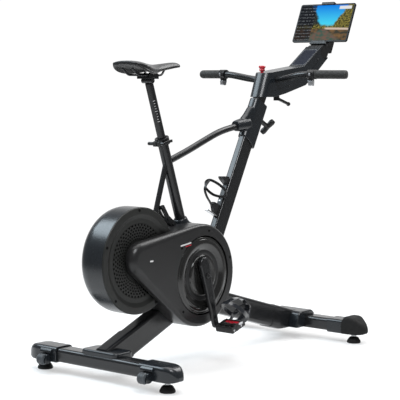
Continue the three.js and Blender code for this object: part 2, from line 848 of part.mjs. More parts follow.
// A crowned shell: each section is an arch with a padded thickness.
function saddle() {
  const steps = 8;
  const arch = ({ half, crown, rim }, inset, foot) => {
    const top = Array.from({ length: steps + 1 }, (_, i) => {
      const t = 1 - (2 * i) / steps;
      return [(half - inset) * t, crown - inset - (crown - rim) * Math.abs(t) ** 3];
    });
    return [[(half - inset) * 0.97, foot], ...top, [(inset - half) * 0.97, foot]];
  };
  return loft(
    SADDLE_STATIONS.map((station) => {
      const { x, half, rim, skirt } = station;
      const thick = Math.min(9, half * 0.5, rim - skirt + 2);
      const section = [...arch(station, 0, skirt), ...arch(station, thick, skirt + 0.5).reverse()];
      return section.map(([y, z]) => [x, y, z]);
    }),
  );
}

function buildSeat() {
  const tube = subgroup(SEAT.x, 0, SEAT.z);
  tube.rotation.y = SEAT.lean;
  part(tube, "seat_tube", seatTube(), FINISH.frame);
  part(tube, "seat_clamp", seatClamp(), FINISH.alloy);
  part(tube, "seat_clamp_lever", seatLever(), FINISH.frame, -26, -16 - GAP, SEAT.top - 10);
  part(bike, "seat_post", seatPost(), FINISH.frame);
  const top = subgroup(SADDLE.x, 0, SADDLE.z);
  part(top, "saddle_clamp", saddleClamp(), FINISH.alloy);
  part(top, "saddle_rails", saddleRails(), FINISH.steel);
  part(top, "saddle", saddle(), FINISH.saddle);
}

// ---------------------------------------------------------------- head and handlebar post
const barPostFit = () =>
  pillar(roundedRect(BAR_POST.depth + 1.2, BAR_POST.width + 1.2, BAR_POST.corner), 0, 900);

// The moulded cover over the top of the head post, with the socket for the top tube.
function headCover() {
  const sleeve = lean(
    slab(outline([[-36, 556], [38, 536], [38, HEAD.top + 8], [-36, HEAD.top + 8]]), -21, 21),
    HEAD,
  );
  const section = lean(pillar(roundedRect(74, 42, 13), 500, 720), HEAD);
  const socket = roundBar([286, 792], [370, 801], 19);
  return cut(
    join(common(sleeve, section), socket),
    headFit(),
    lean(barPostFit(), HEAD),
    pipe(topTubePath, TOP_TUBE_RADIUS + 0.8, 9, 14),
    lean(rod(9, 60, "x", 50, 0, 652), HEAD),
  );
}

// A T handle on a screw that locks the handlebar post.
function postKnob() {
  const grip = rod(10, 64, "z", 62, 0, 0).rotateX(35 * DEG);
  return join(rod(8.4, 60, "x", 32, 0, 0), grip);
}

// The handlebar post is a flat oval tube with a level slide on top for the console.
function handlebarPost() {
  const { depth, width, corner, bottom, top } = BAR_POST;
  const { x0, x1, z0, z1, halfWidth } = SLIDER;
  const tube = lean(pillar(roundedRect(depth, width, corner), bottom, top), HEAD);
  const trimmed = cut(tube, block([0, 900], [-60, 60], [z1 - 2, 1200]));
  return join(trimmed, block([x0, x1], [-halfWidth, halfWidth], [z0, z1]));
}

// Two arms leave the back plate and wrap round the bottle; a bowed strut runs from where they meet to a web
// above the foot rest, and a tab at the top holds the bottle's neck.
function bottleCage() {
  const ring = spline([
    [-4, 0, 2],
    [-16, 30, 5],
    [-46, 41, 13],
    [-76, 28, 22],
    [-90, 0, 28],
    [-76, -28, 22],
    [-46, -41, 13],
    [-16, -30, 5],
    [-4, 0, 2],
  ]);
  const strut = spline([
    [-90, 0, 28],
    [-101, 0, 2],
    [-98, 0, -14],
    [-78, 0, -29],
    [-50, 0, -40],
    [-30, 0, -50],
  ]);
  const tab = slab(outline([[-4, 50], [-4, 78], [-14, 77], [-44, 63], [-33, 56]]), -10, 10);
  const web = slab(outline([[-4, -66], [-4, -28], [-36, -30], [-44, -40], [-24, -62]]), -6, 6);
  const rest = join(box(58, 16, 4, -31, 0, -70), box(3, 16, 10, -58.5, 0, -67));
  const pieces = [pipe(ring, 3.4, 20, 5), pipe(strut, 3.4, 10, 5), box(4, 16, 144, -3, 0, 0), tab, web, rest];
  return cut(join(...pieces), box(20, 60, 200, 9, 0, 0));
}

function buildHead() {
  const post = subgroup(HEAD.x, 0, HEAD.z);
  post.rotation.y = HEAD.lean;
  part(bike, "head_cover", headCover(), FINISH.gloss);
  part(post, "post_knob", postKnob(), FINISH.plastic, HEAD.depth / 2 + 1, 0, 652);
  part(bike, "handlebar_post", handlebarPost(), FINISH.frame);
  part(post, "bottle_cage", bottleCage(), FINISH.plastic, -HEAD.depth / 2 - GAP, 0, 314);
}

// ---------------------------------------------------------------- console
function consoleBody() {
  const { halfWidth, rearX, rearZ, rearLean, tiltX, tiltZ } = CONSOLE;
  const side = slab(
    outline([
      [380, 893],
      [470, 893],
      [541, 906],
      [668, 937],
      [740, 986],
      [812, 1040],
      [765, 1082],
      [757, 1076],
      [654, 1007],
      [430, 979],
      [380, 972],
    ]),
    -halfWidth,
    halfWidth,
  );
  const plan = new THREE.Shape();
  plan.absarc(0, 0, halfWidth, 90 * DEG, 270 * DEG);
  plan.lineTo(500, -halfWidth);
  plan.lineTo(500, halfWidth);
  const shear = new THREE.Matrix4().makeShear(0, 0, 0, 0, rearLean, 0);
  const rounded = pillar(plan, -60, 240, 10).applyMatrix4(shear).translate(rearX, 0, rearZ);
  const { x0, x1, z0, z1, travel } = SLIDER;
  const slideWay = block(
    [x0 - 4, x1 + travel + 1],
    [-SLIDER.halfWidth - 0.6, SLIDER.halfWidth + 0.6],
    [z0 - 0.6, z1 + 0.6],
  );
  const postWay = slab(outline([[380, 860], [414.6, 926], [523, 926], [523, 860]]), -12.2, 12.2);
  const tray = bar([662, 1012.4], [748, 1070.2], 62, 4);
  return cut(
    common(side, rounded),
    slideWay,
    postWay,
    tray,
    rod(CONSOLE.barrel + 0.6, 120, "y", tiltX, 0, tiltZ, 32),
    rod(BAR.radius + 0.5, 120, "y", BAR.x, 0, BAR.z, 28),
    rod(6.5, 40, "z", 440, 0, 975, 16),
    rod(5.5, 40, "z", 530, 0, 904, 14),
  );
}

function handlebarPath() {
  const { x, z, bendX, bendY, bendZ, sweep } = BAR;
  const along = (s, d) => [bendX + d * Math.sin(sweep), s * (bendY + d * Math.cos(sweep)), bendZ];
  const path = new THREE.CurvePath();
  const end = GRIP.end - 4.5;
  path.add(new THREE.LineCurve3(vec(along(-1, end)), vec(along(-1, 0))));
  path.add(
    new THREE.CubicBezierCurve3(
      vec(along(-1, 0)),
      vec(along(-1, -50)),
      vec([x, -88, z]),
      vec([x, -44, z]),
    ),
  );
  path.add(new THREE.LineCurve3(vec([x, -44, z]), vec([x, 44, z])));
  path.add(
    new THREE.CubicBezierCurve3(
      vec([x, 44, z]),
      vec([x, 88, z]),
      vec(along(1, -50)),
      vec(along(1, 0)),
    ),
  );
  path.add(new THREE.LineCurve3(vec(along(1, 0)), vec(along(1, end))));
  return path;
}

// Grips, shifter pods and buttons share the swept axis of the bar's outer ends.
function grip(s) {
  const bore = BAR.radius + 0.7;
  const { start, end, radius } = GRIP;
  return turned(
    [
      [0, s * (end - 4)],
      [bore, s * (end - 4)],
      [bore, s * start],
      [radius + 1.5, s * start],
      [radius + 1.5, s * (start + 4)],
      [radius, s * (start + 5)],
      [radius, s * (end - 5)],
      [radius - 3, s * end],
      [0, s * end],
    ],
    20,
  );
}

const BUTTON = { y: 15, radius: 4.5, x: -17, travel: 2 };

function shifter(s) {
  const pod = rod(17, 26, "y", 0, s * 15, 0);
  const paddle = slab(outline([[-12, -10], [10, -10], [2, -40], [-10, -38]]), ...span(s, 8, 24));
  const head = box(12, 18, 16, -14, s * BUTTON.y, 0);
  return cut(
    join(pod, paddle, head),
    rod(BAR.radius + 0.7, 60, "y", 0, s * 15, 0),
    rod(BUTTON.radius + GAP, 8, "x", -18.5, s * BUTTON.y, 0, 14),
  );
}

const redKnob = () =>
  turnedAboutZ([[0, -14], [6, -14], [6, 5], [9, 8], [12.5, 16], [12.5, 22], [10, 24], [0, 24]], 20);

function consoleLever() {
  const hub = rod(11, 20, "z", 0, 0, -14);
  const stud = rod(5, 18, "z", 0, 0, 4, 14);
  const arm = bar([0, -18], [62, -36], 10, 9).translate(0, -8, 0);
  const knob = new THREE.SphereGeometry(8, 12, 8).translate(64, -8, -37);
  return join(hub, stud, arm, knob);
}

// Behind the tablet: the neck on its barrel, a back plate, and a lip that the tablet stands on.
function tabletHolder() {
  const { tiltX, tiltZ, barrel } = CONSOLE;
  const neck = slab(
    outline([
      [782, 1084],
      [812, 1056],
      [838, 1058],
      [856, 1098],
      [852, 1122],
      [826, 1131],
      [808, 1092],
      [796, 1088],
    ]),
    -33,
    33,
  );
  const hub = rod(barrel, 66, "y", tiltX, 0, tiltZ, 32);
  const half = TABLET.height / 2;
  const panel = [
    block([TABLET.thick + 0.6, 14], [-42, 42], [-half - 4, 44]),
    block([-4, 14], [-38, 38], [-half - 10, -half - 0.6]),
    block([-4, -0.6], [-32, 32], [-half - 10, -half + 5]),
  ].map((piece) => lean(piece, TABLET));
  const jawWay = lean(block([14.2, 19.6], [-13, 13], [-60, 60]), TABLET);
  return cut(join(neck, hub, ...panel), jawWay);
}

function tabletJaw() {
  const half = TABLET.height / 2;
  return join(
    block([14.6, 19], [-12, 12], [-26, half + 6]),
    block([-4, 19], [-28, 28], [half + 0.6, half + 6]),
    block([-4, -0.6], [-28, 28], [half - 5, half + 6]),
  );
}

function buildCockpit() {
  part(bike, "console_body", consoleBody(), FINISH.gloss);
  part(bike, "handlebar", pipe(handlebarPath(), BAR.radius, 26, 12), FINISH.frame);
  for (const { label, s } of sides) {
    const hand = subgroup(BAR.bendX, s * BAR.bendY, BAR.bendZ);
    hand.rotation.z = -s * BAR.sweep;
    part(hand, `grip_${label}`, grip(s), FINISH.rubber);
    part(hand, `shifter_${label}`, shifter(s), FINISH.plastic);
    const button = rod(BUTTON.radius, 5, "x", 0, 0, 0, 14);
    part(hand, `shift_button_${label}`, button, FINISH.alloy, BUTTON.x - 3, s * BUTTON.y, 0);
  }
  part(bike, "red_knob", redKnob(), FINISH.red, 440, 0, 981);
  part(bike, "console_lever", consoleLever(), FINISH.plastic, 530, 0, 904);
  part(bike, "tablet_holder", tabletHolder(), FINISH.plastic);
  const rest = subgroup(TABLET.x, 0, TABLET.z);
  rest.rotation.y = TABLET.lean;
  part(rest, "tablet_jaw", tabletJaw(), FINISH.plastic);
  const slate = plate(roundedRect(TABLET.width, TABLET.height, 8), 0, TABLET.thick);
  part(rest, "tablet", slate, FINISH.screen);
}

buildBase();
buildFrame();
buildFlywheel();
buildCovers();
buildDrive();
buildSeat();
buildHead();
buildCockpit();

export default bike;
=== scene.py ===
"""Looks of the exercise bike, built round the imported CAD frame.

Shapes are made in design millimetres: X is forward from the crank axis, Y is the rider's left and Z is up
from the floor. Each is then moved into the row frame by one of the frames below.
"""
import json
import math

import bmesh
import bpy
from mathutils import Matrix, Vector


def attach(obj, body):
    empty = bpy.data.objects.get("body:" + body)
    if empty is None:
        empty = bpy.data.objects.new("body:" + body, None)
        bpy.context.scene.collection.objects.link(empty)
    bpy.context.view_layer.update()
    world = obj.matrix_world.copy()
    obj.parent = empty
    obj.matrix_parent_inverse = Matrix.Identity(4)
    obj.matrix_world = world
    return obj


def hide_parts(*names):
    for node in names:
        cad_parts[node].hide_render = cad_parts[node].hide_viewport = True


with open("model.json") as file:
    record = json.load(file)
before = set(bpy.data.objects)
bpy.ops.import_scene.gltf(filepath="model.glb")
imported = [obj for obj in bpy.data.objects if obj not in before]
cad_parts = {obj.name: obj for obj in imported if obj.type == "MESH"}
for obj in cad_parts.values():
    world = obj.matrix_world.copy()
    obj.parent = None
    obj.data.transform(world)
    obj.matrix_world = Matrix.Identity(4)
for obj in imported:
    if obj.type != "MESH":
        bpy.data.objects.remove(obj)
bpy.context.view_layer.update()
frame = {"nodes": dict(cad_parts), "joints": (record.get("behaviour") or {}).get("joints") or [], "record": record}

JOINTS = {joint["name"]: joint for joint in frame["joints"]}
BODY_OF = {node: body for body, nodes in frame["record"]["behaviour"]["bodies"].items() for node in nodes}
SIDES = (("right", -1), ("left", 1))


# ---------------------------------------------------------------- frames
def joint_point(name):
    return Vector(JOINTS[name]["pos_m"])


def joint_lean(name):
    """Degrees that a sliding joint's axis leans forward from upright."""
    x, _, z = JOINTS[name]["axis"]
    return math.degrees(math.atan2(x, z))


def at(x, y, z, parent=None):
    return (BIKE if parent is None else parent) @ Matrix.Translation((x, y, z))


def turn(degrees, axis="Y"):
    return Matrix.Rotation(math.radians(degrees), 4, axis)


CRANK_Z = joint_point("crank_turn").z * 1000
BIKE = Matrix.Translation((joint_point("crank_turn").x, 0, 0)) @ Matrix.Scale(0.001, 4)
MM_OF = BIKE.inverted()
DRUM = at(*(MM_OF @ joint_point("flywheel_turn")))
AXIS = at(0, 0, CRANK_Z)
# Z runs up the head post, up the seat tube from its foot, and up the tablet's face from its middle.
HEAD = at(93.8, 0, 250) @ turn(joint_lean("bar_post_height"))
SEAT = at(37.6, 0, 345) @ turn(joint_lean("seat_post_height"))
TABLET = at(829, 0, 1174) @ turn(joint_lean("tablet_jaw_slide"))
# The saddle's parts are placed from the clamp under its rails.
PERCH = at(-180, 0, 965)
REAR_X = (MM_OF @ joint_point("foot_turn_rear_right")).x
FRONT_X = (MM_OF @ joint_point("foot_turn_front_right")).x
# The feet stand this far out, and the stabilisers' middle is this high.
FOOT_Y = 265
TUBE_Z = 59
# Degrees: the cranks' turn from hanging down, the pedals' turn from level, the bar ends' sweep back.
CRANK_ANGLE = 12
PEDAL_TILT = {"right": -17, "left": 127}
BAR_SWEEP = 13.5
# The camera looks this many radians round from straight along Y.
VIEW_YAW = math.radians(50.92)


def hand_frame(s):
    """The start of a grip, with Y out along the bar."""
    return at(464.5, s * 180, 974.5) @ turn(-s * BAR_SWEEP, "Z")


def arm_frame(s):
    return AXIS @ turn(-CRANK_ANGLE if s < 0 else 180 - CRANK_ANGLE)


def pedal_frame(label):
    x, y, z = MM_OF @ joint_point(f"pedal_turn_{label}")
    return at(x, y, z) @ turn(PEDAL_TILT[label])


# ---------------------------------------------------------------- shapes: (vertices, faces)
def merged(*shapes):
    vertices, faces = [], []
    for some_vertices, some_faces in shapes:
        start = len(vertices)
        vertices += some_vertices
        faces += [tuple(start + i for i in face) for face in some_faces]
    return vertices, faces


def moved(shape, matrix):
    return [tuple(matrix @ Vector(v)) for v in shape[0]], shape[1]


def shifted(shape, x=0, y=0, z=0):
    return moved(shape, Matrix.Translation((x, y, z)))


def loft(rings, caps=True, closed=False):
    """Quads between rings of equal point count; closed joins the last ring to the first."""
    count = len(rings[0])
    vertices = [tuple(p) for ring in rings for p in ring]
    faces = []
    for s in range(len(rings) if closed else len(rings) - 1):
        t = (s + 1) % len(rings)
        for i in range(count):
            j = (i + 1) % count
            faces.append((s * count + i, s * count + j, t * count + j, t * count + i))
    if caps and not closed:
        faces.append(tuple(range(count))[::-1])
        faces.append(tuple(range((len(rings) - 1) * count, len(rings) * count)))
    return vertices, faces


# Where a point goes whose section is (a, b) and whose height along the solid's axis is h.
PLACE_ALONG = {
    "Y": lambda a, b, h: (a, h, b),
    "Z": lambda a, b, h: (a, b, h),
    "X": lambda a, b, h: (h, a, b),
}


def lathe(profile, steps=96, axis="Y"):
    """A closed profile of (radius, height) turned about an axis."""
    place = PLACE_ALONG[axis]
    rings = []
    for i in range(steps):
        a = 2 * math.pi * i / steps
        c, s = math.cos(a), math.sin(a)
        rings.append([place(r * c, r * s, h) for r, h in profile])
    return loft(rings, closed=True)


def rod(radius, low, high, steps, axis="Y"):
    """A plain cylinder between two heights on an axis."""
    return lathe([(0, low), (radius, low), (radius, high), (0, high)], steps, axis)


def turned(profile, radii, steps, axis="Y", arc=5):
    """A turned part whose profile has rounded corners."""
    return lathe(rounded(profile, radii, arc), steps, axis)


def rounded(points, radius, steps=5):
    """The outline with its corners turned into arcs; radius is one number or one for each corner."""
    result = []
    count = len(points)
    for i, point in enumerate(points):
        r = radius[i] if isinstance(radius, (list, tuple)) else radius
        here = Vector(point)
        before = Vector(points[i - 1]) - here
        after = Vector(points[(i + 1) % count]) - here
        if r <= 0:
            result.append(tuple(here))
            continue
        half = before.angle(after) / 2
        if half > math.radians(87):
            result.append(tuple(here))
            continue
        reach = min(r / math.tan(half), before.length * 0.49, after.length * 0.49)
        u, v = before.normalized(), after.normalized()
        centre = here + (u + v).normalized() * (reach / math.cos(half))
        first, last = here + u * reach - centre, here + v * reach - centre
        start = math.atan2(first.y, first.x)
        swing = (math.atan2(last.y, last.x) - start + math.pi) % (2 * math.pi) - math.pi
        for k in range(steps + 1):
            a = start + swing * k / steps
            result.append((centre.x + first.length * math.cos(a), centre.y + first.length * math.sin(a)))
    return result


def rectangle(width, height, radius=0, steps=6):
    a, b = width / 2, height / 2
    corners = [(-a, -b), (a, -b), (a, b), (-a, b)]
    return rounded(corners, radius, steps) if radius else corners


def circle(radius, steps=24):
    angles = [2 * math.pi * i / steps for i in range(steps)]
    return [(radius * math.cos(a), radius * math.sin(a)) for a in angles]


def prism(outline, low, high, axis="Y"):
    """An outline made solid along an axis: (x, z) along Y, (x, y) along Z, or (y, z) along X."""
    place = PLACE_ALONG[axis]
    return loft([[place(a, b, h) for a, b in outline] for h in (low, high)])


def block(xs, ys, zs):
    outline = [(xs[0], zs[0]), (xs[1], zs[0]), (xs[1], zs[1]), (xs[0], zs[1])]
    return prism(outline, ys[0], ys[1])


def smooth_path(points, per_span=8):
    """Points along a Catmull-Rom curve through the given ones."""
    controls = [Vector(p) for p in points]
    controls = [2 * controls[0] - controls[1], *controls, 2 * controls[-1] - controls[-2]]
    path = []
    for i in range(1, len(controls) - 2):
        a, b, c, d = controls[i - 1 : i + 3]
        for k in range(per_span):
            t = k / per_span
            curve, twist = 2 * a - 5 * b + 4 * c - d, 3 * b - a - 3 * c + d
            path.append(0.5 * (2 * b + (c - a) * t + curve * t**2 + twist * t**3))
    path.append(controls[-2])
    return path


def smooth_profile(points, per_span=6):
    return [(p.x, p.y) for p in smooth_path([(a, b, 0) for a, b in points], per_span)]


def sweep(path, section, up=(0, 0, 1), scale=None):
    """A section of (across, upward) points carried along a path."""
    path = [Vector(p) for p in path]
    last = len(path) - 1
    rings = []
    for i, point in enumerate(path):
        ahead = path[min(i + 1, last)] - path[max(i - 1, 0)]
        ahead.normalize()
        reference = Vector(up)
        lift = (reference - ahead * reference.dot(ahead)).normalized()
        across = ahead.cross(lift)
        size = scale(i / last) if scale else 1
        rings.append([point + across * (a * size) + lift * (b * size) for a, b in section])
    return loft(rings)


def tube(path, radius, sides=20, **options):
    return sweep(path, circle(radius, sides), **options)


def oval(width, thickness, steps=20):
    """A strap's section: flat in the middle with round edges."""
    return rectangle(width, thickness, min(width, thickness) * 0.48, steps=max(2, steps // 5))


def bolt_head(radius, height):
    """A small button head on the XY plane facing +Z, with a round socket."""
    profile = [(0, -1), (radius, -1), (radius, height * 0.35), (radius * 0.75, height)]
    socket = [(radius * 0.45, height), (radius * 0.42, height * 0.2), (0, height * 0.2)]
    return lathe(profile + socket, 20, "Z")


# ---------------------------------------------------------------- objects
def add_object(name, shape, matrix):
    mesh = bpy.data.meshes.new(name)
    mesh.from_pydata(shape[0], [], shape[1])
    edit = bmesh.new()
    edit.from_mesh(mesh)
    bmesh.ops.remove_doubles(edit, verts=edit.verts, dist=1e-3)
    bmesh.ops.recalc_face_normals(edit, faces=edit.faces)
    edit.to_mesh(mesh)
    edit.free()
    mesh.transform(matrix)
    obj = bpy.data.objects.new(name, mesh)
    bpy.context.scene.collection.objects.link(obj)
    return obj


def bake(obj):
    """Applies the object's modifiers to its mesh."""
    evaluated = obj.evaluated_get(bpy.context.evaluated_depsgraph_get())
    mesh = bpy.data.meshes.new_from_object(evaluated)
    obj.modifiers.clear()
    obj.data = mesh


def carve(obj, shape, matrix, operation="DIFFERENCE"):
    cutter = add_object("cutter", shape, matrix)
    modifier = obj.modifiers.new("carve", "BOOLEAN")
    modifier.operation = operation
    modifier.solver = "EXACT"
    modifier.object = cutter
    bake(obj)
    bpy.data.objects.remove(cutter)


def append(obj, shape, matrix):
    """Adds separate closed pieces to an object's mesh."""
    other = add_object("addition", shape, matrix)
    edit = bmesh.new()
    edit.from_mesh(obj.data)
    edit.from_mesh(other.data)
    edit.to_mesh(obj.data)
    edit.free()
    bpy.data.objects.remove(other)


def soften(obj, width_mm, segments=3, angle=32):
    """Rounds the edges sharper than an angle."""
    bevel = obj.modifiers.new("edges", "BEVEL")
    bevel.width = width_mm / 1000
    bevel.segments = segments
    bevel.limit_method = "ANGLE"
    bevel.angle_limit = math.radians(angle)
    bevel.miter_outer = "MITER_ARC"
    bake(obj)


def shade(obj, angle=40, weighted=True):
    for polygon in obj.data.polygons:
        polygon.use_smooth = True
    obj.data.set_sharp_from_angle(angle=math.radians(angle))
    if weighted:
        normals = obj.modifiers.new("normals", "WEIGHTED_NORMAL")
        normals.keep_sharp = True


def dress(obj, material, host):
    """Gives a piece its material and body, taken from a CAD node it belongs with."""
    obj.data.materials.clear()
    obj.data.materials.append(material)
    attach(obj, BODY_OF[host])
    return obj


def skin(node, shape, matrix, material, edge=0, angle=40, cuts=(), weighted=True, more=None):
    """A detailed piece that replaces a CAD node; more holds closed shapes that are added after the cuts."""
    obj = add_object(f"{node}_skin", shape, matrix)
    for cutter in cuts:
        carve(obj, cutter, matrix)
    if more:
        append(obj, more, matrix)
    if edge:
        soften(obj, edge)
    shade(obj, angle, weighted)
    dress(obj, material, node)
    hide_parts(node)
    return obj


def reshape(obj, matrix, cuts=(), additions=(), angle=40):
    """Later cuts and additions, in a frame that may differ from the piece's own."""
    obj.modifiers.clear()
    for cutter in cuts:
        carve(obj, cutter, matrix)
    for shape in additions:
        append(obj, shape, matrix)
    shade(obj, angle)


def extra(name, host, shape, matrix, material, edge=0, angle=40):
    """A small piece that rides with a CAD node and replaces nothing."""
    obj = add_object(name, shape, matrix)
    if edge:
        soften(obj, edge, 2)
    shade(obj, angle)
    return dress(obj, material, host)


def moulding(node, material, grain_mm=1.6, passes=9, shape=None, matrix=None, cuts=()):
    """Solids melted into one with rounded edges and filled corners, then hollowed by the cuts.

    Without a shape, the CAD node's own solid is used.
    """
    if shape:
        obj = add_object(f"{node}_skin", shape, matrix)
    else:
        obj = bpy.data.objects.new(f"{node}_skin", frame["nodes"][node].data.copy())
        bpy.context.scene.collection.objects.link(obj)
    remesh = obj.modifiers.new("remesh", "REMESH")
    remesh.mode = "VOXEL"
    remesh.voxel_size = grain_mm / 1000
    relax = obj.modifiers.new("relax", "SMOOTH")
    relax.factor = 0.5
    relax.iterations = passes
    bake(obj)
    for cutter in cuts:
        carve(obj, cutter, matrix)
    shade(obj, 50 if cuts else 180, weighted=False)
    dress(obj, material, node)
    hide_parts(node)
    return obj


def keep(node, material, edge=0.8):
    """A CAD node that stays, with softened edges and a better material."""
    obj = frame["nodes"][node]
    obj.data.materials.clear()
    obj.data.materials.append(material)
    weld = obj.modifiers.new("weld", "WELD")
    weld.merge_threshold = 1e-5
    bevel = obj.modifiers.new("edges", "BEVEL")
    bevel.width = edge / 1000
    bevel.segments = 2
    bevel.limit_method = "ANGLE"
    bevel.angle_limit = math.radians(35)
    for polygon in obj.data.polygons:
        polygon.use_smooth = True
    obj.data.set_sharp_from_angle(angle=math.radians(34))


# ---------------------------------------------------------------- materials
class Nodes:
    """A short way to write a material's node tree."""

    def __init__(self, name):
        self.material = bpy.data.materials.new(name)
        self.material.use_nodes = True
        self.tree = self.material.node_tree
        self.shader = self.tree.nodes["Principled BSDF"]
        self.place = self.add("ShaderNodeTexCoord").outputs["Object"]

    def add(self, kind, **inputs):
        node = self.tree.nodes.new(kind)
        for key, value in inputs.items():
            node.inputs[key.replace("_", " ")].default_value = value
        return node

    def finish(self, **inputs):
        """Sets values that are the same all over the surface on the shader's own sockets."""
        for key, value in inputs.items():
            self.shader.inputs[key.replace("_", " ")].default_value = value

    def link(self, source, node, socket):
        self.tree.links.new(source, node.inputs[socket])

    def noise(self, scale, detail=3.0, stretch=None, kind="ShaderNodeTexNoise"):
        texture = self.add(kind, Scale=scale)
        if kind == "ShaderNodeTexNoise":
            texture.inputs["Detail"].default_value = detail
        source = self.place
        if stretch:
            mapping = self.add("ShaderNodeMapping", Scale=stretch)
            self.link(source, mapping, "Vector")
            source = mapping.outputs["Vector"]
        self.link(source, texture, "Vector")
        return texture.outputs["Distance" if kind == "ShaderNodeTexVoronoi" else "Fac"]

    def ramp(self, source, low, high, to_low=0.0, to_high=1.0):
        node = self.add("ShaderNodeMapRange")
        for socket, value in (("From Min", low), ("From Max", high), ("To Min", to_low), ("To Max", to_high)):
            node.inputs[socket].default_value = value
        self.link(source, node, "Value")
        return node.outputs["Result"]

    def mix(self, factor, first, second):
        node = self.add("ShaderNodeMix")
        node.data_type = "RGBA"
        for value, index in ((first, 6), (second, 7)):
            if isinstance(value, (tuple, list)):
                node.inputs[index].default_value = (*value, 1)
            else:
                self.tree.links.new(value, node.inputs[index])
        if isinstance(factor, (int, float)):
            node.inputs[0].default_value = factor
        else:
            self.tree.links.new(factor, node.inputs[0])
        return node.outputs[2]

    def maths(self, operation, first, second=0.0):
        node = self.add("ShaderNodeMath")
        node.operation = operation
        for index, value in enumerate((first, second)):
            if isinstance(value, (int, float)):
                node.inputs[index].default_value = value
            else:
                self.tree.links.new(value, node.inputs[index])
        return node.outputs[0]

    def bump(self, height, strength, distance):
        node = self.add("ShaderNodeBump", Strength=strength, Distance=distance)
        self.link(height, node, "Height")
        self.link(node.outputs["Normal"], self.shader, "Normal")


def tint(colour, factor):
    return tuple(min(1.0, c * factor) for c in colour)


def surface(
    name,
    colour,
    roughness,
    metallic=0.0,
    coat=0.0,
    specular=0.35,
    grain=0.15,
    grain_scale=1400.0,
    mottle=0.16,
    spread=0.08,
    edge_highlight=0.25,
    stretch=None,
):
    """Moulded, painted or metal surface: cloudy tone, uneven gloss, fine grain and a painted highlight that makes
    sharp edges paler.
    """
    n = Nodes(name)
    n.finish(Metallic=metallic, Coat_Weight=coat, Coat_Roughness=0.06, Specular_IOR_Level=specular)
    cloud = n.noise(9.0, 4.0)
    tone = n.mix(n.ramp(cloud, 0.3, 0.7), tint(colour, 1 - mottle), tint(colour, 1 + mottle))
    # Sharp edges are mixed towards a colour 3.2 times paler: a painted highlight along the edges, as strong as
    # edge_highlight.
    edge = n.ramp(n.add("ShaderNodeNewGeometry").outputs["Pointiness"], 0.515, 0.58, 0.0, edge_highlight)
    n.link(n.mix(edge, tone, tint(colour, 3.2)), n.shader, "Base Color")
    patches = n.noise(60.0, 5.0, stretch)
    n.link(n.ramp(patches, 0.3, 0.7, roughness - spread, roughness + spread), n.shader, "Roughness")
    n.bump(n.noise(grain_scale, 2.0, stretch), grain, 0.0002)
    return n.material


PAINT = surface(
    "satin_paint", (0.0095, 0.01, 0.011), 0.22, specular=0.45, grain=0.05, spread=0.02, edge_highlight=0.05
)
SHELL = surface(
    "glossy_moulding", (0.0085, 0.011, 0.014), 0.26, specular=0.5, grain=0.03, spread=0.015, edge_highlight=0
)
COVER = surface(
    "charcoal_cover", (0.015, 0.015, 0.0155), 0.3, grain=0.05, mottle=0.08, spread=0.015, edge_highlight=0
)
GRILLE = surface(
    "grille_plastic", (0.016, 0.0165, 0.0155), 0.42, specular=0.3, grain=0.08, spread=0.02, edge_highlight=0
)
DISC = surface(
    "gloss_black_disc", (0.0085, 0.0085, 0.0082), 0.13, coat=0.5, grain=0.03, mottle=0.1, spread=0.04
)
BLACK = surface("black_plastic", (0.0075, 0.0075, 0.008), 0.38, grain=0.25, mottle=0.15)
CAGE = surface(
    "smoked_grey_strap", (0.012, 0.014, 0.018), 0.2, coat=0.5, grain=0.06, mottle=0.12, spread=0.04
)
INK = surface("black_oxide", (0.0018, 0.0018, 0.0018), 0.6, specular=0.12, grain=0.1, edge_highlight=0)
RUBBER = surface(
    "black_rubber", (0.008, 0.008, 0.008), 0.7, specular=0.25, grain=0.5, grain_scale=900, edge_highlight=0.15
)
ROLLER = surface("roller_grey", (0.05, 0.056, 0.062), 0.42, grain=0.25, mottle=0.15)
# The flywheel's iron is coloured near black so that the grille's holes look dark: painted shade inside the drum.
IRON_PAINTED_SHADE = surface(
    "cast_iron_painted_shade", (0.006, 0.006, 0.0065), 0.6, specular=0.15, grain=0.5, grain_scale=500, mottle=0.2
)
RAIL = surface("dark_steel", (0.03, 0.031, 0.033), 0.32, metallic=0.8, grain=0.1, mottle=0.1, spread=0.03)
STEEL = surface("brushed_steel", (0.24, 0.245, 0.25), 0.3, metallic=1, grain=0.12, stretch=(1, 14, 1))
ALLOY = surface("satin_alloy", (0.42, 0.43, 0.45), 0.33, metallic=1, grain=0.15, mottle=0.08)
RED = surface("red_gloss", (0.4, 0.01, 0.022), 0.25, coat=0.5, grain=0.05, mottle=0.1, edge_highlight=0.1)
MARK = surface("pale_print", (0.62, 0.62, 0.62), 0.45, grain=0.05, mottle=0.04, edge_highlight=0)
NAVY = surface(
    "navy_mat", (0.0025, 0.0045, 0.011), 0.5, specular=0.15, grain=0.4, grain_scale=700, mottle=0.2
)
GLASS = surface(
    "tablet_front", (0.0015, 0.0015, 0.0018), 0.25, specular=0.15, grain=0.02, spread=0.02, edge_highlight=0
)
TRIM = surface("pale_trim", (0.09, 0.096, 0.105), 0.35, grain=0.1, mottle=0.08)


def grip_rubber():
    """Ribbed grip compound: a fine diamond grain over the lathe-cut ribs, greyer in patches."""
    n = Nodes("grip_rubber")
    cloud = n.ramp(n.noise(22.0, 4.0), 0.3, 0.7)
    n.link(n.mix(cloud, (0.010, 0.010, 0.009), (0.017, 0.017, 0.0155)), n.shader, "Base Color")
    n.link(n.ramp(n.noise(80.0), 0.3, 0.7, 0.55, 0.75), n.shader, "Roughness")
    n.bump(n.noise(700.0, kind="ShaderNodeTexVoronoi"), 0.6, 0.0004)
    return n.material


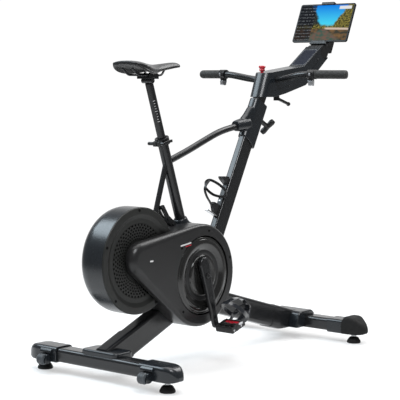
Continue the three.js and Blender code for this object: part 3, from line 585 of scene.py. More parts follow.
def saddle_skin():
    """Synthetic leather: pebbled grain, soft sheen and gloss that varies in patches."""
    n = Nodes("saddle_leather")
    cloud = n.ramp(n.noise(14.0, 4.0), 0.3, 0.7)
    n.link(n.mix(cloud, (0.005, 0.005, 0.0055), (0.008, 0.0082, 0.009)), n.shader, "Base Color")
    n.link(n.ramp(n.noise(30.0, 5.0), 0.3, 0.7, 0.34, 0.40), n.shader, "Roughness")
    n.finish(Sheen_Weight=0.04)
    n.bump(n.noise(900.0, kind="ShaderNodeTexVoronoi"), 0.04, 0.0001)
    return n.material


GRIP = grip_rubber()
LEATHER = saddle_skin()


def screen_picture():
    """A generic landscape on the lit screen: sky, trees, a field and a road beside a dark panel."""
    n = Nodes("tablet_picture")
    uv = n.add("ShaderNodeTexCoord").outputs["UV"]
    split = n.add("ShaderNodeSeparateXYZ")
    n.link(uv, split, "Vector")
    u, v = split.outputs["X"], split.outputs["Y"]

    def cloudy(scale, detail=4.0):
        texture = n.add("ShaderNodeTexNoise", Scale=scale, Detail=detail)
        n.link(uv, texture, "Vector")
        return texture.outputs["Fac"]

    def above(value, line, blur=0.02):
        return n.ramp(n.maths("SUBTRACT", value, line), -blur, blur)

    def line(value, slope, start, rough, scale):
        straight = n.maths("ADD", n.maths("MULTIPLY", value, slope), start)
        return n.maths("ADD", straight, n.maths("MULTIPLY", cloudy(scale), rough))

    leaves = n.ramp(cloudy(34, 6.0), 0.40, 0.62)
    picture = n.mix(n.ramp(v, 0.45, 1.0), (0.06, 0.66, 0.88), (0.001, 0.20, 0.78))
    golden = n.mix(leaves, (0.010, 0.016, 0.006), (0.30, 0.25, 0.05))
    picture = n.mix(above(line(u, 2.6, -1.55, 0.35, 6.0), v, 0.05), picture, golden)
    shaded = n.mix(leaves, (0.004, 0.006, 0.008), (0.050, 0.060, 0.045))
    picture = n.mix(above(line(u, -2.4, 1.35, 0.35, 7.0), v, 0.05), picture, shaded)
    picture = n.mix(above(line(u, 0.0, 0.36, 0.14, 9.0), v, 0.03), picture, golden)
    ground = n.mix(n.ramp(cloudy(12), 0.35, 0.65), (0.035, 0.040, 0.030), (0.20, 0.11, 0.045))
    picture = n.mix(above(0.33, v, 0.02), picture, ground)
    strip = n.maths("ABSOLUTE", n.maths("SUBTRACT", n.maths("ADD", v, n.maths("MULTIPLY", u, 0.05)), 0.36))
    strip = n.maths("MULTIPLY", n.ramp(strip, 0.02, 0.035, 1.0, 0.0), above(u, 0.55, 0.02))
    picture = n.mix(strip, picture, (0.62, 0.50, 0.40))
    road = n.maths("ABSOLUTE", n.maths("SUBTRACT", u, 0.52))
    half_road = n.maths("SUBTRACT", 0.36, v)
    on_road = n.ramp(n.maths("SUBTRACT", road, half_road), -0.03, 0.03, 1.0, 0.0)
    tarmac = n.mix(n.ramp(cloudy(9), 0.40, 0.60), (0.055, 0.10, 0.075), (0.16, 0.095, 0.07))
    picture = n.mix(n.maths("MULTIPLY", on_road, above(0.32, v, 0.03)), picture, tarmac)
    panel = n.mix(0.82, picture, (0.004, 0.005, 0.008))
    rows = n.ramp(n.maths("SINE", n.maths("MULTIPLY", v, 70.0)), 0.55, 0.75)
    rows = n.maths("MULTIPLY", rows, n.ramp(cloudy(40, 1.0), 0.48, 0.54))
    panel = n.mix(n.maths("MULTIPLY", rows, 0.5), panel, (0.30, 0.32, 0.34))
    picture = n.mix(above(0.30, u, 0.01), picture, panel)
    badge = n.maths("MULTIPLY", above(u, 0.74, 0.006), above(v, 0.88, 0.006))
    badge = n.maths("MULTIPLY", badge, n.maths("MULTIPLY", above(0.97, u, 0.006), above(0.97, v, 0.006)))
    picture = n.mix(badge, picture, (0.75, 0.76, 0.78))
    n.finish(Base_Color=(0.004, 0.004, 0.005, 1), Roughness=0.6, Specular_IOR_Level=0.0)
    n.finish(Emission_Strength=1.0)
    n.link(picture, n.shader, "Emission Color")
    return n.material


SCREEN = screen_picture()


# ---------------------------------------------------------------- camera and stage
def build_camera():
    """The photograph's viewpoint, from the bike's right and behind, tipped down and rolled a little."""
    pitch, roll = math.radians(4.967), math.radians(0.445)
    level = Vector((math.sin(VIEW_YAW), math.cos(VIEW_YAW), 0))
    ahead = Vector((level.x * math.cos(pitch), level.y * math.cos(pitch), -math.sin(pitch)))
    right = Vector((level.y, -level.x, 0))
    up = right.cross(ahead)
    tilted = Matrix((
        math.cos(roll) * right + math.sin(roll) * up,
        math.cos(roll) * up - math.sin(roll) * right,
        -ahead,
    )).transposed()
    data = bpy.data.cameras.new("camera")
    data.sensor_width = 36.0
    data.lens = 119.98
    data.clip_end = 100.0
    camera = bpy.data.objects.new("camera", data)
    eye = BIKE @ Vector((-3431.1, -2861.3, 937.5))
    camera.matrix_world = Matrix.Translation(eye) @ tilted.to_4x4()
    bpy.context.scene.collection.objects.link(camera)
    bpy.context.scene.camera = camera


def area_light(name, place, target, size, power, colour=(1, 1, 1)):
    data = bpy.data.lights.new(name, "AREA")
    data.shape = "RECTANGLE"
    data.size, data.size_y = size
    data.energy = power
    data.color = colour
    light = bpy.data.objects.new(name, data)
    light.location = place
    light.visible_camera = False
    light.rotation_mode = "QUATERNION"
    light.rotation_quaternion = (Vector(place) - Vector(target)).to_track_quat("Z", "Y")
    bpy.context.scene.collection.objects.link(light)


def build_floor():
    """A pale round floor that fades out before its rim."""
    bike_middle = 209.3
    floor = add_object("floor", prism(circle(2500, 96), -20, -0.6, "Z"), at(bike_middle, 0, 0))
    n = Nodes("pale_floor")
    n.link(n.mix(n.noise(0.8), (0.48, 0.48, 0.48), (0.51, 0.51, 0.51)), n.shader, "Base Color")
    n.finish(Roughness=0.7, Emission_Color=(1, 1, 1, 1), Emission_Strength=0.45)
    reach = n.add("ShaderNodeVectorMath")
    reach.operation = "LENGTH"
    n.link(n.place, reach, "Vector")
    n.link(n.ramp(reach.outputs["Value"], 1.15, 2.4, 1.0, 0.0), n.shader, "Alpha")
    floor.data.materials.append(n.material)


def build_world():
    """Soft grey light that is brightest behind the bike, and a plain white backdrop for the camera."""
    world = bpy.data.worlds.new("studio")
    world.use_nodes = True
    tree = world.node_tree
    place = tree.nodes.new("ShaderNodeTexCoord")
    facing = tree.nodes.new("ShaderNodeVectorMath")
    facing.operation = "DOT_PRODUCT"
    facing.inputs[1].default_value = (math.sin(VIEW_YAW), math.cos(VIEW_YAW), -0.09)
    level = tree.nodes.new("ShaderNodeMapRange")
    for socket, value in (("From Min", 0.60), ("From Max", 0.93), ("To Min", 0.24), ("To Max", 1.04)):
        level.inputs[socket].default_value = value
    backdrop = tree.nodes.new("ShaderNodeMix")
    backdrop.inputs["B"].default_value = 1.04
    tree.links.new(place.outputs["Generated"], facing.inputs[0])
    tree.links.new(facing.outputs["Value"], level.inputs["Value"])
    tree.links.new(tree.nodes.new("ShaderNodeLightPath").outputs["Is Camera Ray"], backdrop.inputs["Factor"])
    tree.links.new(level.outputs["Result"], backdrop.inputs["A"])
    tree.links.new(backdrop.outputs["Result"], tree.nodes["Background"].inputs["Strength"])
    tree.nodes["Background"].inputs["Color"].default_value = (1, 1, 1, 1)
    bpy.context.scene.world = world
    bpy.context.scene.view_settings.view_transform = "Standard"


def build_lights():
    area_light("rear_softbox", (-1.7, 1.9, 2.9), (-0.1, 0, 0.5), (3.0, 1.4), 100, (0.78, 0.91, 1.0))
    area_light("key", (-1.5, -1.9, 2.9), (-0.2, 0, 0.5), (1.1, 1.1), 60, (0.96, 0.98, 1.0))
    area_light("front_top", (2.2, -0.6, 2.8), (0.3, 0, 0.5), (1.6, 1.6), 50)
    area_light("overhead", (0.2, 0.2, 3.6), (0.1, 0, 0), (3.0, 3.0), 90)


# ---------------------------------------------------------------- base
def levelling_foot(turns=7):
    """A rubber-soled cone foot on a threaded stud."""
    thread = []
    for k in range(turns):
        z = 23 + 2 * k
        thread += [(5.0, z), (4.2, z + 1)]
    sole = [(0, 0), (23.5, 0), (25, 1.5), (25, 6), (24, 8.5), (18, 18.5), (15, 21), (8, 21), (8, 23)]
    return lathe(sole + thread + [(5, 50), (0, 50)], 64, "Z")


def transport_roller():
    """A roller with chamfered ends and a groove round its middle."""
    half = 12
    one_side = [(4.5, -half), (15.5, -half), (17.7, 3 - half), (17.7, -3), (16.8, -1.5)]
    other_side = [(r, -y) for r, y in reversed(one_side)]
    return turned(one_side + other_side, [0, 0, 2, 0.4, 0.4, 0.4, 0.4, 2, 0, 0], 48, arc=3)


def cap_body(s, stations, top_radius, low_radius):
    """An end cap lofted outward from stations of (distance out, half depth, low and high edge)."""
    rings = []
    for out, half, low, high in stations:
        most = min(half, (high - low) / 2) * 0.9
        radii = [min(low_radius, most)] * 2 + [min(top_radius, most)] * 2
        corners = [(-half, low), (half, low), (half, high), (-half, high)]
        rings.append([(x, s * out, z) for x, z in rounded(corners, radii, 5)])
    return loft(rings)


def tube_room(length):
    return prism(rectangle(66.8, 46.8, 12, steps=8), -length, length)


# Stations for cap_body. Each cap's inner end is chamfered, and its outer end is a round nose.
REAR_CAP = [
    (178, 38.4, -22.4, 25.4), (179.6, 40, -24, 27), (246, 40, -24, 27), (264, 40, -24, 27),
    (274, 38.8, -24, 26.6), (285, 36, -24, 25.8), (295, 32, -24, 23.5), (303, 27.5, -23, 19.5),
    (310, 22.5, -21.5, 13), (315, 17.5, -19.5, 5), (318, 12.5, -17.5, -3), (319, 8, -15.5, -9),
]
FRONT_SLEEVE = [
    (170, 37.6, -24.4, 23.9), (171.6, 39.2, -26, 25.5), (239, 39.2, -26, 25.5), (239.5, 38.8, -25.6, 25),
]
FRONT_CAP = [
    (233, 38.4, -25.6, 24.6), (234.5, 40, -26, 26.4), (238, 40, -26, 31), (243, 40, -26, 37.2),
    (248, 39.5, -26, 38), (268, 38, -26, 38), (279, 36, -26, 35), (291, 32, -26, 26),
    (303, 26, -25, 17), (311, 20, -23.5, 9), (316.5, 14, -20, 1), (319, 9, -17, -5),
]


def roller_fork(s):
    """Two rounded cheeks, the pin between them and the hood over the roller."""
    cheek = rounded([(-66, -16), (-62, -28), (-46, -28), (-36, -22), (-36, 3), (-56, 3)], [6, 8, 6, 0, 0, 7])
    roller_y = s * 218
    shapes = [shifted(prism(cheek, -2.5, 2.5), 0, roller_y + k * 15.1) for k in (-1, 1)]
    shapes.append(shifted(rod(4, -17, 17, 24), -60, roller_y, -13))
    hood = rounded([(-48, 6.5), (-38, 6.5), (-38, 20), (-41, 20), (-46.5, 14)], [2, 0, 0, 3, 3])
    shapes.append(shifted(prism(hood, -24, 24), 0, roller_y))
    return merged(*shapes)


def build_end(end, x, label, s):
    """An end cap, round the end of the stabiliser and the foot's stud, and the foot under it."""
    axle, ground = at(x, 0, TUBE_Z), at(x, s * FOOT_Y, 0)
    node = f"{end}_end_cap_{label}"
    foot = f"{end}_foot_{label}"
    room = [tube_room(280.4), shifted(prism(circle(5.6), -40, -15, "Z"), 0, s * FOOT_Y)]
    if end == "rear":
        body = cap_body(s, REAR_CAP, 15, 6)
        skin(node, body, axle, SHELL, edge=0.9, angle=30, cuts=room, more=roller_fork(s))
    else:
        skin(node, cap_body(s, FRONT_SLEEVE, 11, 9), axle, SHELL, angle=30, cuts=room[:1])
        nose = extra(f"{node}_nose", node, cap_body(s, FRONT_CAP, 12, 7), axle, RUBBER)
        reshape(nose, axle, cuts=room, angle=30)
    skin(foot, levelling_foot(), ground, RUBBER, angle=50)
    nut = prism(circle(9.5, 6), 23.5, 29.5, "Z")
    extra(f"{end}_foot_nut_{label}", foot, nut, ground, STEEL, edge=0.8)


def build_base():
    rear_axle, front_axle = at(REAR_X, 0, TUBE_Z), at(FRONT_X, 0, TUBE_Z)
    for end, x in (("rear", REAR_X), ("front", FRONT_X)):
        beam = prism(rectangle(66, 46, 13, steps=8), -280, 280)
        skin(f"{end}_stabiliser", beam, at(x, 0, TUBE_Z), PAINT)
        for label, s in SIDES:
            build_end(end, x, label, s)
    rings = []
    for z, inset in ((12, 0), (30, 0), (32.5, 0.4), (35, 2.0), (36.4, 4.0), (37, 6.5)):
        outline = rectangle(85 - 2 * inset, 154 - 2 * inset, 18 - inset, steps=8)
        rings.append([(x + 12.5, y, z) for x, y in outline])
    beam_room = prism([(-395.4, 5), (-395.4, 101.1), (-300, 139.3), (-300, 45.8)], -27.4, 27.4)
    room = [tube_room(90), moved(beam_room, rear_axle.inverted() @ BIKE)]
    skin("rear_base_cover", loft(rings), rear_axle, SHELL, angle=28, cuts=room)
    side = [(-84, -18), (-80, 10), (-70, 34), (-58, 40), (12, 40), (26, 30), (30, 8), (30, -18)]
    side = rounded(side, [0, 20, 14, 12, 14, 14, 12, 0])
    half_width = [(64, 1), (67.5, 0.99), (70, 0.965), (71, 0.93)]
    rings = []
    for y, shrink in [(-y, k) for y, k in reversed(half_width)] + half_width:
        rings.append([(x * shrink, y, (z + 18) * shrink - 18) for x, z in side])
    beam_room = prism([(560, 118.3), (665, 88.4), (665, 0), (560, 30)], -31.4, 31.4)
    room = [tube_room(90), moved(beam_room, front_axle.inverted() @ BIKE)]
    skin("front_base_cover", loft(rings), front_axle, SHELL, angle=28, cuts=room)
    for label, s in SIDES:
        roller = MM_OF @ joint_point(f"roller_turn_{label}")
        skin(f"transport_roller_{label}", transport_roller(), at(*roller), ROLLER)


# ---------------------------------------------------------------- frame
def beam_path(start, end):
    """The matrix that puts +X along a beam, with its origin at the start, and the beam's length."""
    dx, dz = end[0] - start[0], end[1] - start[1]
    return at(start[0], 0, start[1]) @ turn(-math.degrees(math.atan2(dz, dx))), math.hypot(dx, dz)


def stepped_beam(width, height, radius, stations):
    """A beam along +X. Each station is (x at the top, x at the bottom, how far the skin stands out)."""
    rings = []
    for top, bottom, proud in stations:
        outline = rectangle(width + 2 * proud, height + 2 * proud, radius, steps=6)
        half = height / 2 + proud
        rings.append([(top + (bottom - top) * (half - z) / (2 * half), y, z) for y, z in outline])
    return loft(rings)


TOP_TUBE = smooth_path(
    [(-66, 0, 685), (30, 0, 716), (120, 0, 748), (190, 0, 771), (262, 0, 786), (340, 0, 796)], 10
)


def build_beams():
    """The two sloping beams, cut off square where they meet the stabilisers and each other."""
    frame_beam, length = beam_path((-410, 48.5), (25, 222.5))
    shape = stepped_beam(50, 82, 11, [(0, 0, 2), (147, 133, 2), (148, 134, 0), (length, length, 0)])
    beam = skin("rear_beam", shape, frame_beam, PAINT)
    tube_end = REAR_X + 33.4
    cuts = [
        block((-600, tube_end), (-60, 60), (-50, TUBE_Z + 23.4)),
        block((-600, -395), (-60, 60), (0, 200)),
        block((-600, 0), (-60, 60), (0, 42)),
    ]
    hub = block((-29, 57), (-32.5, 32.5), (190, 345.5))
    reshape(beam, BIKE, cuts, [hub])
    frame_beam, length = beam_path((20, 228.1), (660, 45.7))
    sleeve = math.hypot(488 - 20, 228.1 - 94.7)
    steps = [(40, 40, 0), (sleeve - 2, sleeve - 2, 0), (sleeve, sleeve, 2), (length, length, 2)]
    beam = skin("front_beam", stepped_beam(58, 80, 12, steps), frame_beam, PAINT)
    cuts = [block((FRONT_X - 33.4, 900), (-60, 60), (-100, 400)), block((300, 900), (-60, 60), (-100, 40))]
    reshape(beam, BIKE, cuts)


def build_stay():
    """The thin tube down to the drum, with its two-sided bracket and the bolts through it."""
    top, foot = Vector((-88, 0, 676)), Vector((-163, 0, 440))
    path = [top.lerp(foot, t) for t in (0.02, 0.3, 0.6, 0.9)]
    drum_room = moved(rod(172.6, -30, 30, 120), MM_OF @ DRUM)
    stay = skin("rear_stay", tube(path, 9, 28, up=(0, 1, 0)), BIKE, PAINT, cuts=[drum_room])
    outline = [(-127, 540), (-114, 541), (-88, 504), (-64, 486), (-54, 464), (-68, 462), (-92, 482),
               (-122, 522)]
    bracket = rounded(outline, [5, 6, 12, 8, 5, 5, 12, 5])
    additions = [merged(prism(bracket, -15, -11), prism(bracket, 11, 15))]
    bolt = lathe([(0, -18), (6, -18), (7, -15), (7, 15), (6, 18), (0, 18)], 24)
    additions += [shifted(bolt, x, 0, z) for x, z in ((-119, 531), (-89, 493), (-63, 472))]
    reshape(stay, BIKE, additions=additions)


def build_frame():
    build_beams()
    skin("top_tube", tube(TOP_TUBE, 11.5, 32), BIKE, PAINT)
    build_stay()
    post = prism(rectangle(60, 30, 8), 40, 697, "Z")
    gusset = prism(rounded([(176, 352), (221, 400), (221, 426), (204, 434), (176, 434)], 4), -12, 12)
    head_post = skin("head_post", merged(post, moved(gusset, HEAD.inverted() @ BIKE)), HEAD, PAINT)
    reshape(head_post, HEAD, [prism(rectangle(54, 24, 5), 60, 720, "Z")])
    ring = [(14.1, 8), (17.5, 8), (17.5, 438.5), (16.9, 440), (14.6, 440), (14.1, 439.5)]
    skin("seat_tube", lathe(ring, 64, "Z"), SEAT, PAINT)
    collar = [(17.9, 106), (35.5, 106), (37, 112), (36.5, 124), (30, 130), (25.5, 140), (23, 151), (21, 153),
              (17.9, 153)]
    collar = turned(collar, [0, 2, 3, 3, 4, 5, 2, 1, 0], 72, "Z")
    skin("seat_tube_boot", collar, SEAT, SHELL)


# ---------------------------------------------------------------- drum
DRUM_R = 172
# The middle of the drum's right face is dished to this depth.
DISH_Y = -53.5
HOLE_RINGS = 6
HOLES_ROUND = 48
STEPS_ROUND = 4 * HOLES_ROUND


def perforated_band(inner, outer, front, back):
    """Rings of small oval holes, each ring turned half a hole from the last."""
    vertices, faces, known = [], [], {}

    def point(radius, angle_step, y):
        key = (round(radius, 3), angle_step % STEPS_ROUND, y)
        if key not in known:
            a = 2 * math.pi * key[1] / STEPS_ROUND
            known[key] = len(vertices)
            vertices.append((radius * math.cos(a), y, radius * math.sin(a)))
        return known[key]

    pitch = (outer - inner) / HOLE_RINGS
    for ring in range(HOLE_RINGS):
        low, high = inner + ring * pitch, inner + (ring + 1) * pitch
        middle = (low + high) / 2
        half_r = pitch * 0.37
        half_t = min(4.0, 0.32 * 2 * math.pi * middle / HOLES_ROUND)
        for k in range(HOLES_ROUND):
            a0 = 4 * k + 2 * (ring % 2)
            border = [(low, a0), (low, a0 + 2), (low, a0 + 4), (middle, a0 + 4)]
            border += [(high, a0 + 4), (high, a0 + 2), (high, a0), (middle, a0)]
            centre_angle = 2 * math.pi * (a0 + 2) / STEPS_ROUND
            loops = []
            for y in (front, back):
                edge = [point(r, a, y) for r, a in border]
                hole = []
                for i in range(8):
                    b = math.radians(-135 + 45 * i)
                    r = middle + half_r * max(-1, min(1, 1.25 * math.sin(b)))
                    a = centre_angle + half_t * max(-1, min(1, 1.25 * math.cos(b))) / middle
                    hole.append(len(vertices))
                    vertices.append((r * math.cos(a), y, r * math.sin(a)))
                loops.append((edge, hole))
            for i in range(8):
                j = (i + 1) % 8
                (edge_f, hole_f), (edge_b, hole_b) = loops
                faces.append((edge_f[i], edge_f[j], hole_f[j], hole_f[i]))
                faces.append((edge_b[j], edge_b[i], hole_b[i], hole_b[j]))
                faces.append((hole_f[i], hole_f[j], hole_b[j], hole_b[i]))
            rim_sides = (0, 1) if ring == 0 else (4, 5) if ring == HOLE_RINGS - 1 else ()
            for i in rim_sides:
                faces.append((loops[0][0][i + 1], loops[0][0][i], loops[1][0][i], loops[1][0][i + 1]))
    return vertices, faces


def face_screws(name, host, centre, places, y, radius):
    """Black screws round a face that looks towards -Y; places are (degrees, radius) from its centre."""
    head = moved(bolt_head(radius, 1.6), turn(90, "X"))
    shapes = []
    for degrees, r in places:
        a = math.radians(degrees)
        shapes.append(shifted(head, r * math.cos(a), y, r * math.sin(a)))
    extra(name, host, merged(*shapes), centre, INK)


def build_drum():
    rim_to_back = [(DRUM_R, -55), (DRUM_R, -6), (171, 14), (166, 32), (155, 47), (136, 56.5), (112, 59.6)]
    outer = smooth_profile(rim_to_back)
    inner = [(r - 3, y - 1.5) for r, y in reversed(outer)]
    shell = [(0, 60), (100, 60), *reversed(outer), (DRUM_R - 3, -55), *inner[::-1][1:], (100, 57), (0, 57)]
    skin("drum_shell", lathe(shell, 144), DRUM, SHELL, angle=50)
    rim = [(119, DISH_Y), (136, DISH_Y), (149, -59.7), (169.5, -59.7), (DRUM_R, -57), (DRUM_R, -55.6),
           (149, -55.6), (136, -50.5), (119, -50.5)]
    rim = turned(rim, [0, 5, 3, 2.5, 1, 0, 0, 0, 0], 144)
    plate = merged(rim, perforated_band(66, 120, DISH_Y, -51), rod(66.5, DISH_Y, -50.5, 96))
    axle_room = rod(28, -60, -45, 48)
    skin("drum_grille", plate, DRUM, GRILLE, angle=35, weighted=False, cuts=[axle_room])
    places = [(91, 162), (160, 162), (-134, 162), (-61, 162), (29, 162)]
    face_screws("drum_screws", "drum_grille", DRUM, places, -59.6, 5.0)
    # The flywheel takes the near-black iron, which is painted shade seen through the grille's holes.
    for node in ("flywheel", "brake_yoke", "flywheel_axle"):
        keep(node, IRON_PAINTED_SHADE if node == "flywheel" else STEEL)


# ---------------------------------------------------------------- covers
# The cover's outline runs round two circles, each an (x, z, radius).
NOSE = (-294, 381, 57)
ROUND = (-4, 302, 172)


def teardrop_ring(y, nose_inset, round_inset, nose_lift=0.0, arc=36, side=10):
    """The outline round both circles at a depth; insets shrink the circles, nose_lift moves the nose in Y."""
    nx, nz, nr = NOSE[0], NOSE[1], NOSE[2] - nose_inset
    rx, rz, rr = ROUND[0], ROUND[1], ROUND[2] - round_inset
    heading = math.atan2(rz - nz, rx - nx)
    opening = math.acos((nr - rr) / math.hypot(rx - nx, rz - nz))
    points = []
    for i in range(arc + 1):
        a = heading - opening + 2 * opening * i / arc
        points.append((rx + rr * math.cos(a), y, rz + rr * math.sin(a)))
    nose = []
    for i in range(arc + 1):
        a = heading + opening + (2 * math.pi - 2 * opening) * i / arc
        nose.append((nx + nr * math.cos(a), y + nose_lift, nz + nr * math.sin(a)))
    top = [Vector(points[-1]).lerp(Vector(nose[0]), k / side) for k in range(1, side)]
    bottom = [Vector(nose[-1]).lerp(Vector(points[0]), k / side) for k in range(1, side)]
    return [Vector(p) for p in points] + top + [Vector(p) for p in nose] + bottom


def teardrop(face, middle, nose_round, rim_round, margin=0.0, steps=7):
    """A cover half from its face to the middle plane, with a rounder nose than rim."""
    s = math.copysign(1, face - middle)
    rings = [teardrop_ring(middle, margin, margin)]
    for k in range(steps + 1):
        a = math.radians(90) * k / steps
        inset, rise = 1 - math.cos(a), 1 - math.sin(a)
        rings.append(
            teardrop_ring(
                face - s * rim_round * rise,
                margin + nose_round * inset,
                margin + rim_round * inset,
                -s * (nose_round - rim_round) * rise,
            )
        )
    return loft(rings)


def build_covers():
    wall = 3.5
    drum_room = moved(rod(DRUM_R + 1.2, -61, 61, 144), MM_OF @ DRUM)
    seat_tube_room = moved(rod(18.2, 60, 190, 64, "Z"), MM_OF @ SEAT)
    for node, face, middle, nose_round, hole in (
        ("right_cover", -92, -0.4, 26, 133.5),
        ("left_cover", 74, 0.4, 13, 36),
    ):
        s = math.copysign(1, face)
        shell = teardrop(face, middle, nose_round, 12)
        inside = teardrop(face - s * wall, -s * 5, nose_round, 12, wall)
        bore = shifted(rod(hole, -30, 30, 144), 0, face, CRANK_Z)
        room = [inside, drum_room, bore, seat_tube_room]
        skin(node, shell, BIKE, COVER, angle=30, cuts=room)
    places = [(79, 151), (18.5, 151), (-133, 151), (-50, 151), (138, 151)]
    face_screws("cover_screws", "right_cover", AXIS, places, -91.8, 4.6)
    tilted = Matrix.Translation((-92, 0, 414)) @ turn(-7)
    front, back = -92.25, -91.6
    stripe = prism(rectangle(54, 5, 1.2), front, back)
    extra("cover_mark_pale", "right_cover", moved(stripe, tilted), BIKE, MARK)
    stripe = shifted(prism(rectangle(30, 3, 1.0), front, back), 12, 0, -7)
    extra("cover_mark_red", "right_cover", moved(stripe, tilted), BIKE, RED)
    dash = shifted(prism(rectangle(16, 5, 2.4), front, back), -262, 0, 375)
    extra("nose_mark_pale", "right_cover", dash, BIKE, MARK)


# ---------------------------------------------------------------- drive
def crank_disc():
    """A dished disc: a raised band, a hollow and a flat middle."""
    face = [(129.5, -88.6), (127, -90.4), (122, -90.8), (119, -92.6), (112, -93.9), (103, -93.4),
            (94, -91.0), (88, -88.2), (84, -87.6), (72, -87.6), (68.5, -88.4), (66, -91.6), (60, -92.4),
            (44, -91.6), (30, -91.0)]
    return lathe([(129.6, -86.6), *smooth_profile(face, 5), (13, -91.0), (13, -86.6)], 144)


def crank_arm(s):
    """The arm hangs along local -Z: a long taper that leans out towards the pedal, with a shallow groove."""
    inner_y, thick, lean = 98, 14, 0.07
    crown_z, crown_r = 40, 24
    end_z, end_r = -170, 12.5

    def ring(depth, inset):
        low_r, high_r = end_r - inset, crown_r - inset
        opening = math.acos((low_r - high_r) / (crown_z - end_z))
        points = []
        for i in range(21):
            a = math.pi / 2 - opening + 2 * opening * i / 20
            points.append((high_r * math.cos(a), crown_z + high_r * math.sin(a)))
        for i in range(21):
            a = math.pi / 2 + opening + (2 * math.pi - 2 * opening) * i / 20
            points.append((low_r * math.cos(a), end_z + low_r * math.sin(a)))
        return [(x, s * (inner_y + depth - lean * z), z) for x, z in points]

    steps = [(0, 3), (0.9, 0.9), (3, 0), (thick - 4.5, 0), (thick - 1.5, 1.3), (thick, 4.2), (thick, 6.5)]
    rings = [ring(depth, inset) for depth, inset in [*steps, (thick - 1.6, 8)]]
    axle_length = 86
    axle_start = inner_y - lean * end_z + 6
    axle = turned([(0, 0), (7, 0), (7, 84), (5.6, axle_length), (0, axle_length)], [0, 0, 1, 1, 0], 32)
    axle = shifted(axle, 0, axle_start if s > 0 else -axle_start - axle_length, end_z)
    return merged(loft(rings), axle)


def pedal():
    """An open platform: two rails with teeth, cross bars and a barrel on the axle."""
    barrel = [(7.6, -34), (12, -34), (13, -22), (10.5, -8), (10.5, 8), (13, 22), (12, 34), (7.6, 34)]
    shapes = [turned(barrel, 2, 40)]
    rail = rounded([(-4.5, -9), (3, -11), (4, -4), (4, 4), (3, 11), (-4.5, 9)], 2, 3)
    cross = rounded([(-27, -4), (-10, -8), (10, -8), (27, -4), (27, 4), (10, 8), (-10, 8), (-27, 4)], 3)
    tooth = [(-3.4, 0), (3.4, 0), (1.6, 3), (-1.6, 3)]
    for k in (-1, 1):
        shapes.append(shifted(prism([(k * a, b) for a, b in rail], -35, 35), k * 27))
        shapes.append(prism(cross, k * 12 - 2.5, k * 12 + 2.5))
        for i in range(7):
            shapes.append(shifted(prism(tooth, k * 26 - 3, k * 26 + 3, "X"), 0, -30 + 10 * i, 8.8))
    return merged(*shapes)


def pedal_ends():
    """The closed end plates, each with a hub round the axle."""
    shapes = []
    plate = [(-30, -7), (-20, -10), (20, -10), (30, -7), (30, 6), (12, 11.5), (-12, 11.5), (-30, 6)]
    hub = [(0, -4), (11, -4), (11, 2.2), (9, 3.6), (0, 3.6)]
    for k in (-1, 1):
        shapes.append(prism(rounded(plate, 3), k * 32 - 2.8, k * 32 + 2.8))
        shapes.append(shifted(lathe([(r, k * y) for r, y in hub], 32), 0, k * 32.2))
    return merged(*shapes)


def pedal_bolts():
    """Two screws and a bright strap on each end plate."""
    shapes = []
    for x in (-20, 20):
        for y in (-1, 1):
            head = moved(bolt_head(4.0, 1.2), turn(90 if y < 0 else -90, "X"))
            shapes.append(shifted(head, x, y * 34.8, -1))
    for y in (-1, 1):
        strap = rounded([(6, 8), (14, 3), (27, 3), (30, 8.5), (20, 11.4), (8, 11.4)], 1.5)
        shapes.append(shifted(prism(strap, -1.2, 1.2), 0, y * 34.6))
    return merged(*shapes)


def pedal_insert():
    """The coloured pad between the axle and the front rail."""
    pad = rounded([(-7, -5), (7, -7), (7, 9), (-7, 8)], 2)
    return shifted(prism(pad, -26, 26), 16.5)


def toe_cage():
    """Broad glossy straps: a bow round the toe, a ridge over it and an arch behind."""
    front = 33.6
    bow = [(front, -24, 0), (front + 30, -30, 8), (front + 62, -20, 22), (front + 71, 0, 28),
           (front + 62, 20, 22), (front + 30, 30, 8), (front, 24, 0)]
    ridge = [(front - 1, 0, -4), (front + 34, 0, 0), (front + 62, 0, 12), (front + 72, 0, 32),
             (front + 56, 0, 58), (front + 26, 0, 76), (4, 0, 84)]
    arch = [(front + 28, -30, 9), (front + 7, -38, 38), (14, -25, 74), (6, 0, 83),
            (14, 25, 74), (front + 7, 38, 38), (front + 28, 30, 9)]
    clip = rounded([(-2.2, -8), (2.2, -8), (2.2, 8), (-2.2, 8)], 1)
    return merged(
        sweep(smooth_path(bow), oval(3.2, 17), up=(0.35, 0, 1)),
        sweep(smooth_path(ridge), oval(2.6, 22), up=(0, 1, 0)),
        sweep(smooth_path(arch), oval(2.6, 15), up=(1, 0, 0.1)),
        shifted(prism(clip, -27, 27), front + 0.2),
    )


def build_drive():
    skin("crank_disc", crank_disc(), AXIS, DISC, angle=50)
    ring = smooth_profile([(85, -87.9), (80, -88.6), (74, -88.6), (69.5, -87.9)], 4)
    ring = lathe([(85, -87.2), *ring, (69.5, -87.2)], 128)
    extra("disc_ring", "crank_disc", ring, AXIS, BLACK)
    for label, s in SIDES:
        arm, foot_rest = f"crank_arm_{label}", f"pedal_{label}"
        skin(arm, crank_arm(s), arm_frame(s), PAINT, angle=45)
        cap = moved(bolt_head(9.5, 2.4), turn(90 if s < 0 else -90, "X"))
        extra(f"crank_bolt_{label}", arm, shifted(cap, 0, s * 112.2), arm_frame(s), BLACK)
        place = pedal_frame(label)
        skin(foot_rest, pedal(), place, BLACK, edge=0.6)
        extra(f"pedal_ends_{label}", foot_rest, pedal_ends(), place, BLACK, edge=1.0)
        extra(f"pedal_bolts_{label}", foot_rest, pedal_bolts(), place, ALLOY)
        extra(f"pedal_insert_{label}", foot_rest, pedal_insert(), place, RED, edge=0.8)
        skin(f"toe_cage_{label}", toe_cage(), place, CAGE, angle=50)
    keep("crank_spindle", STEEL)
    keep("drive_belt", RUBBER, 0.4)


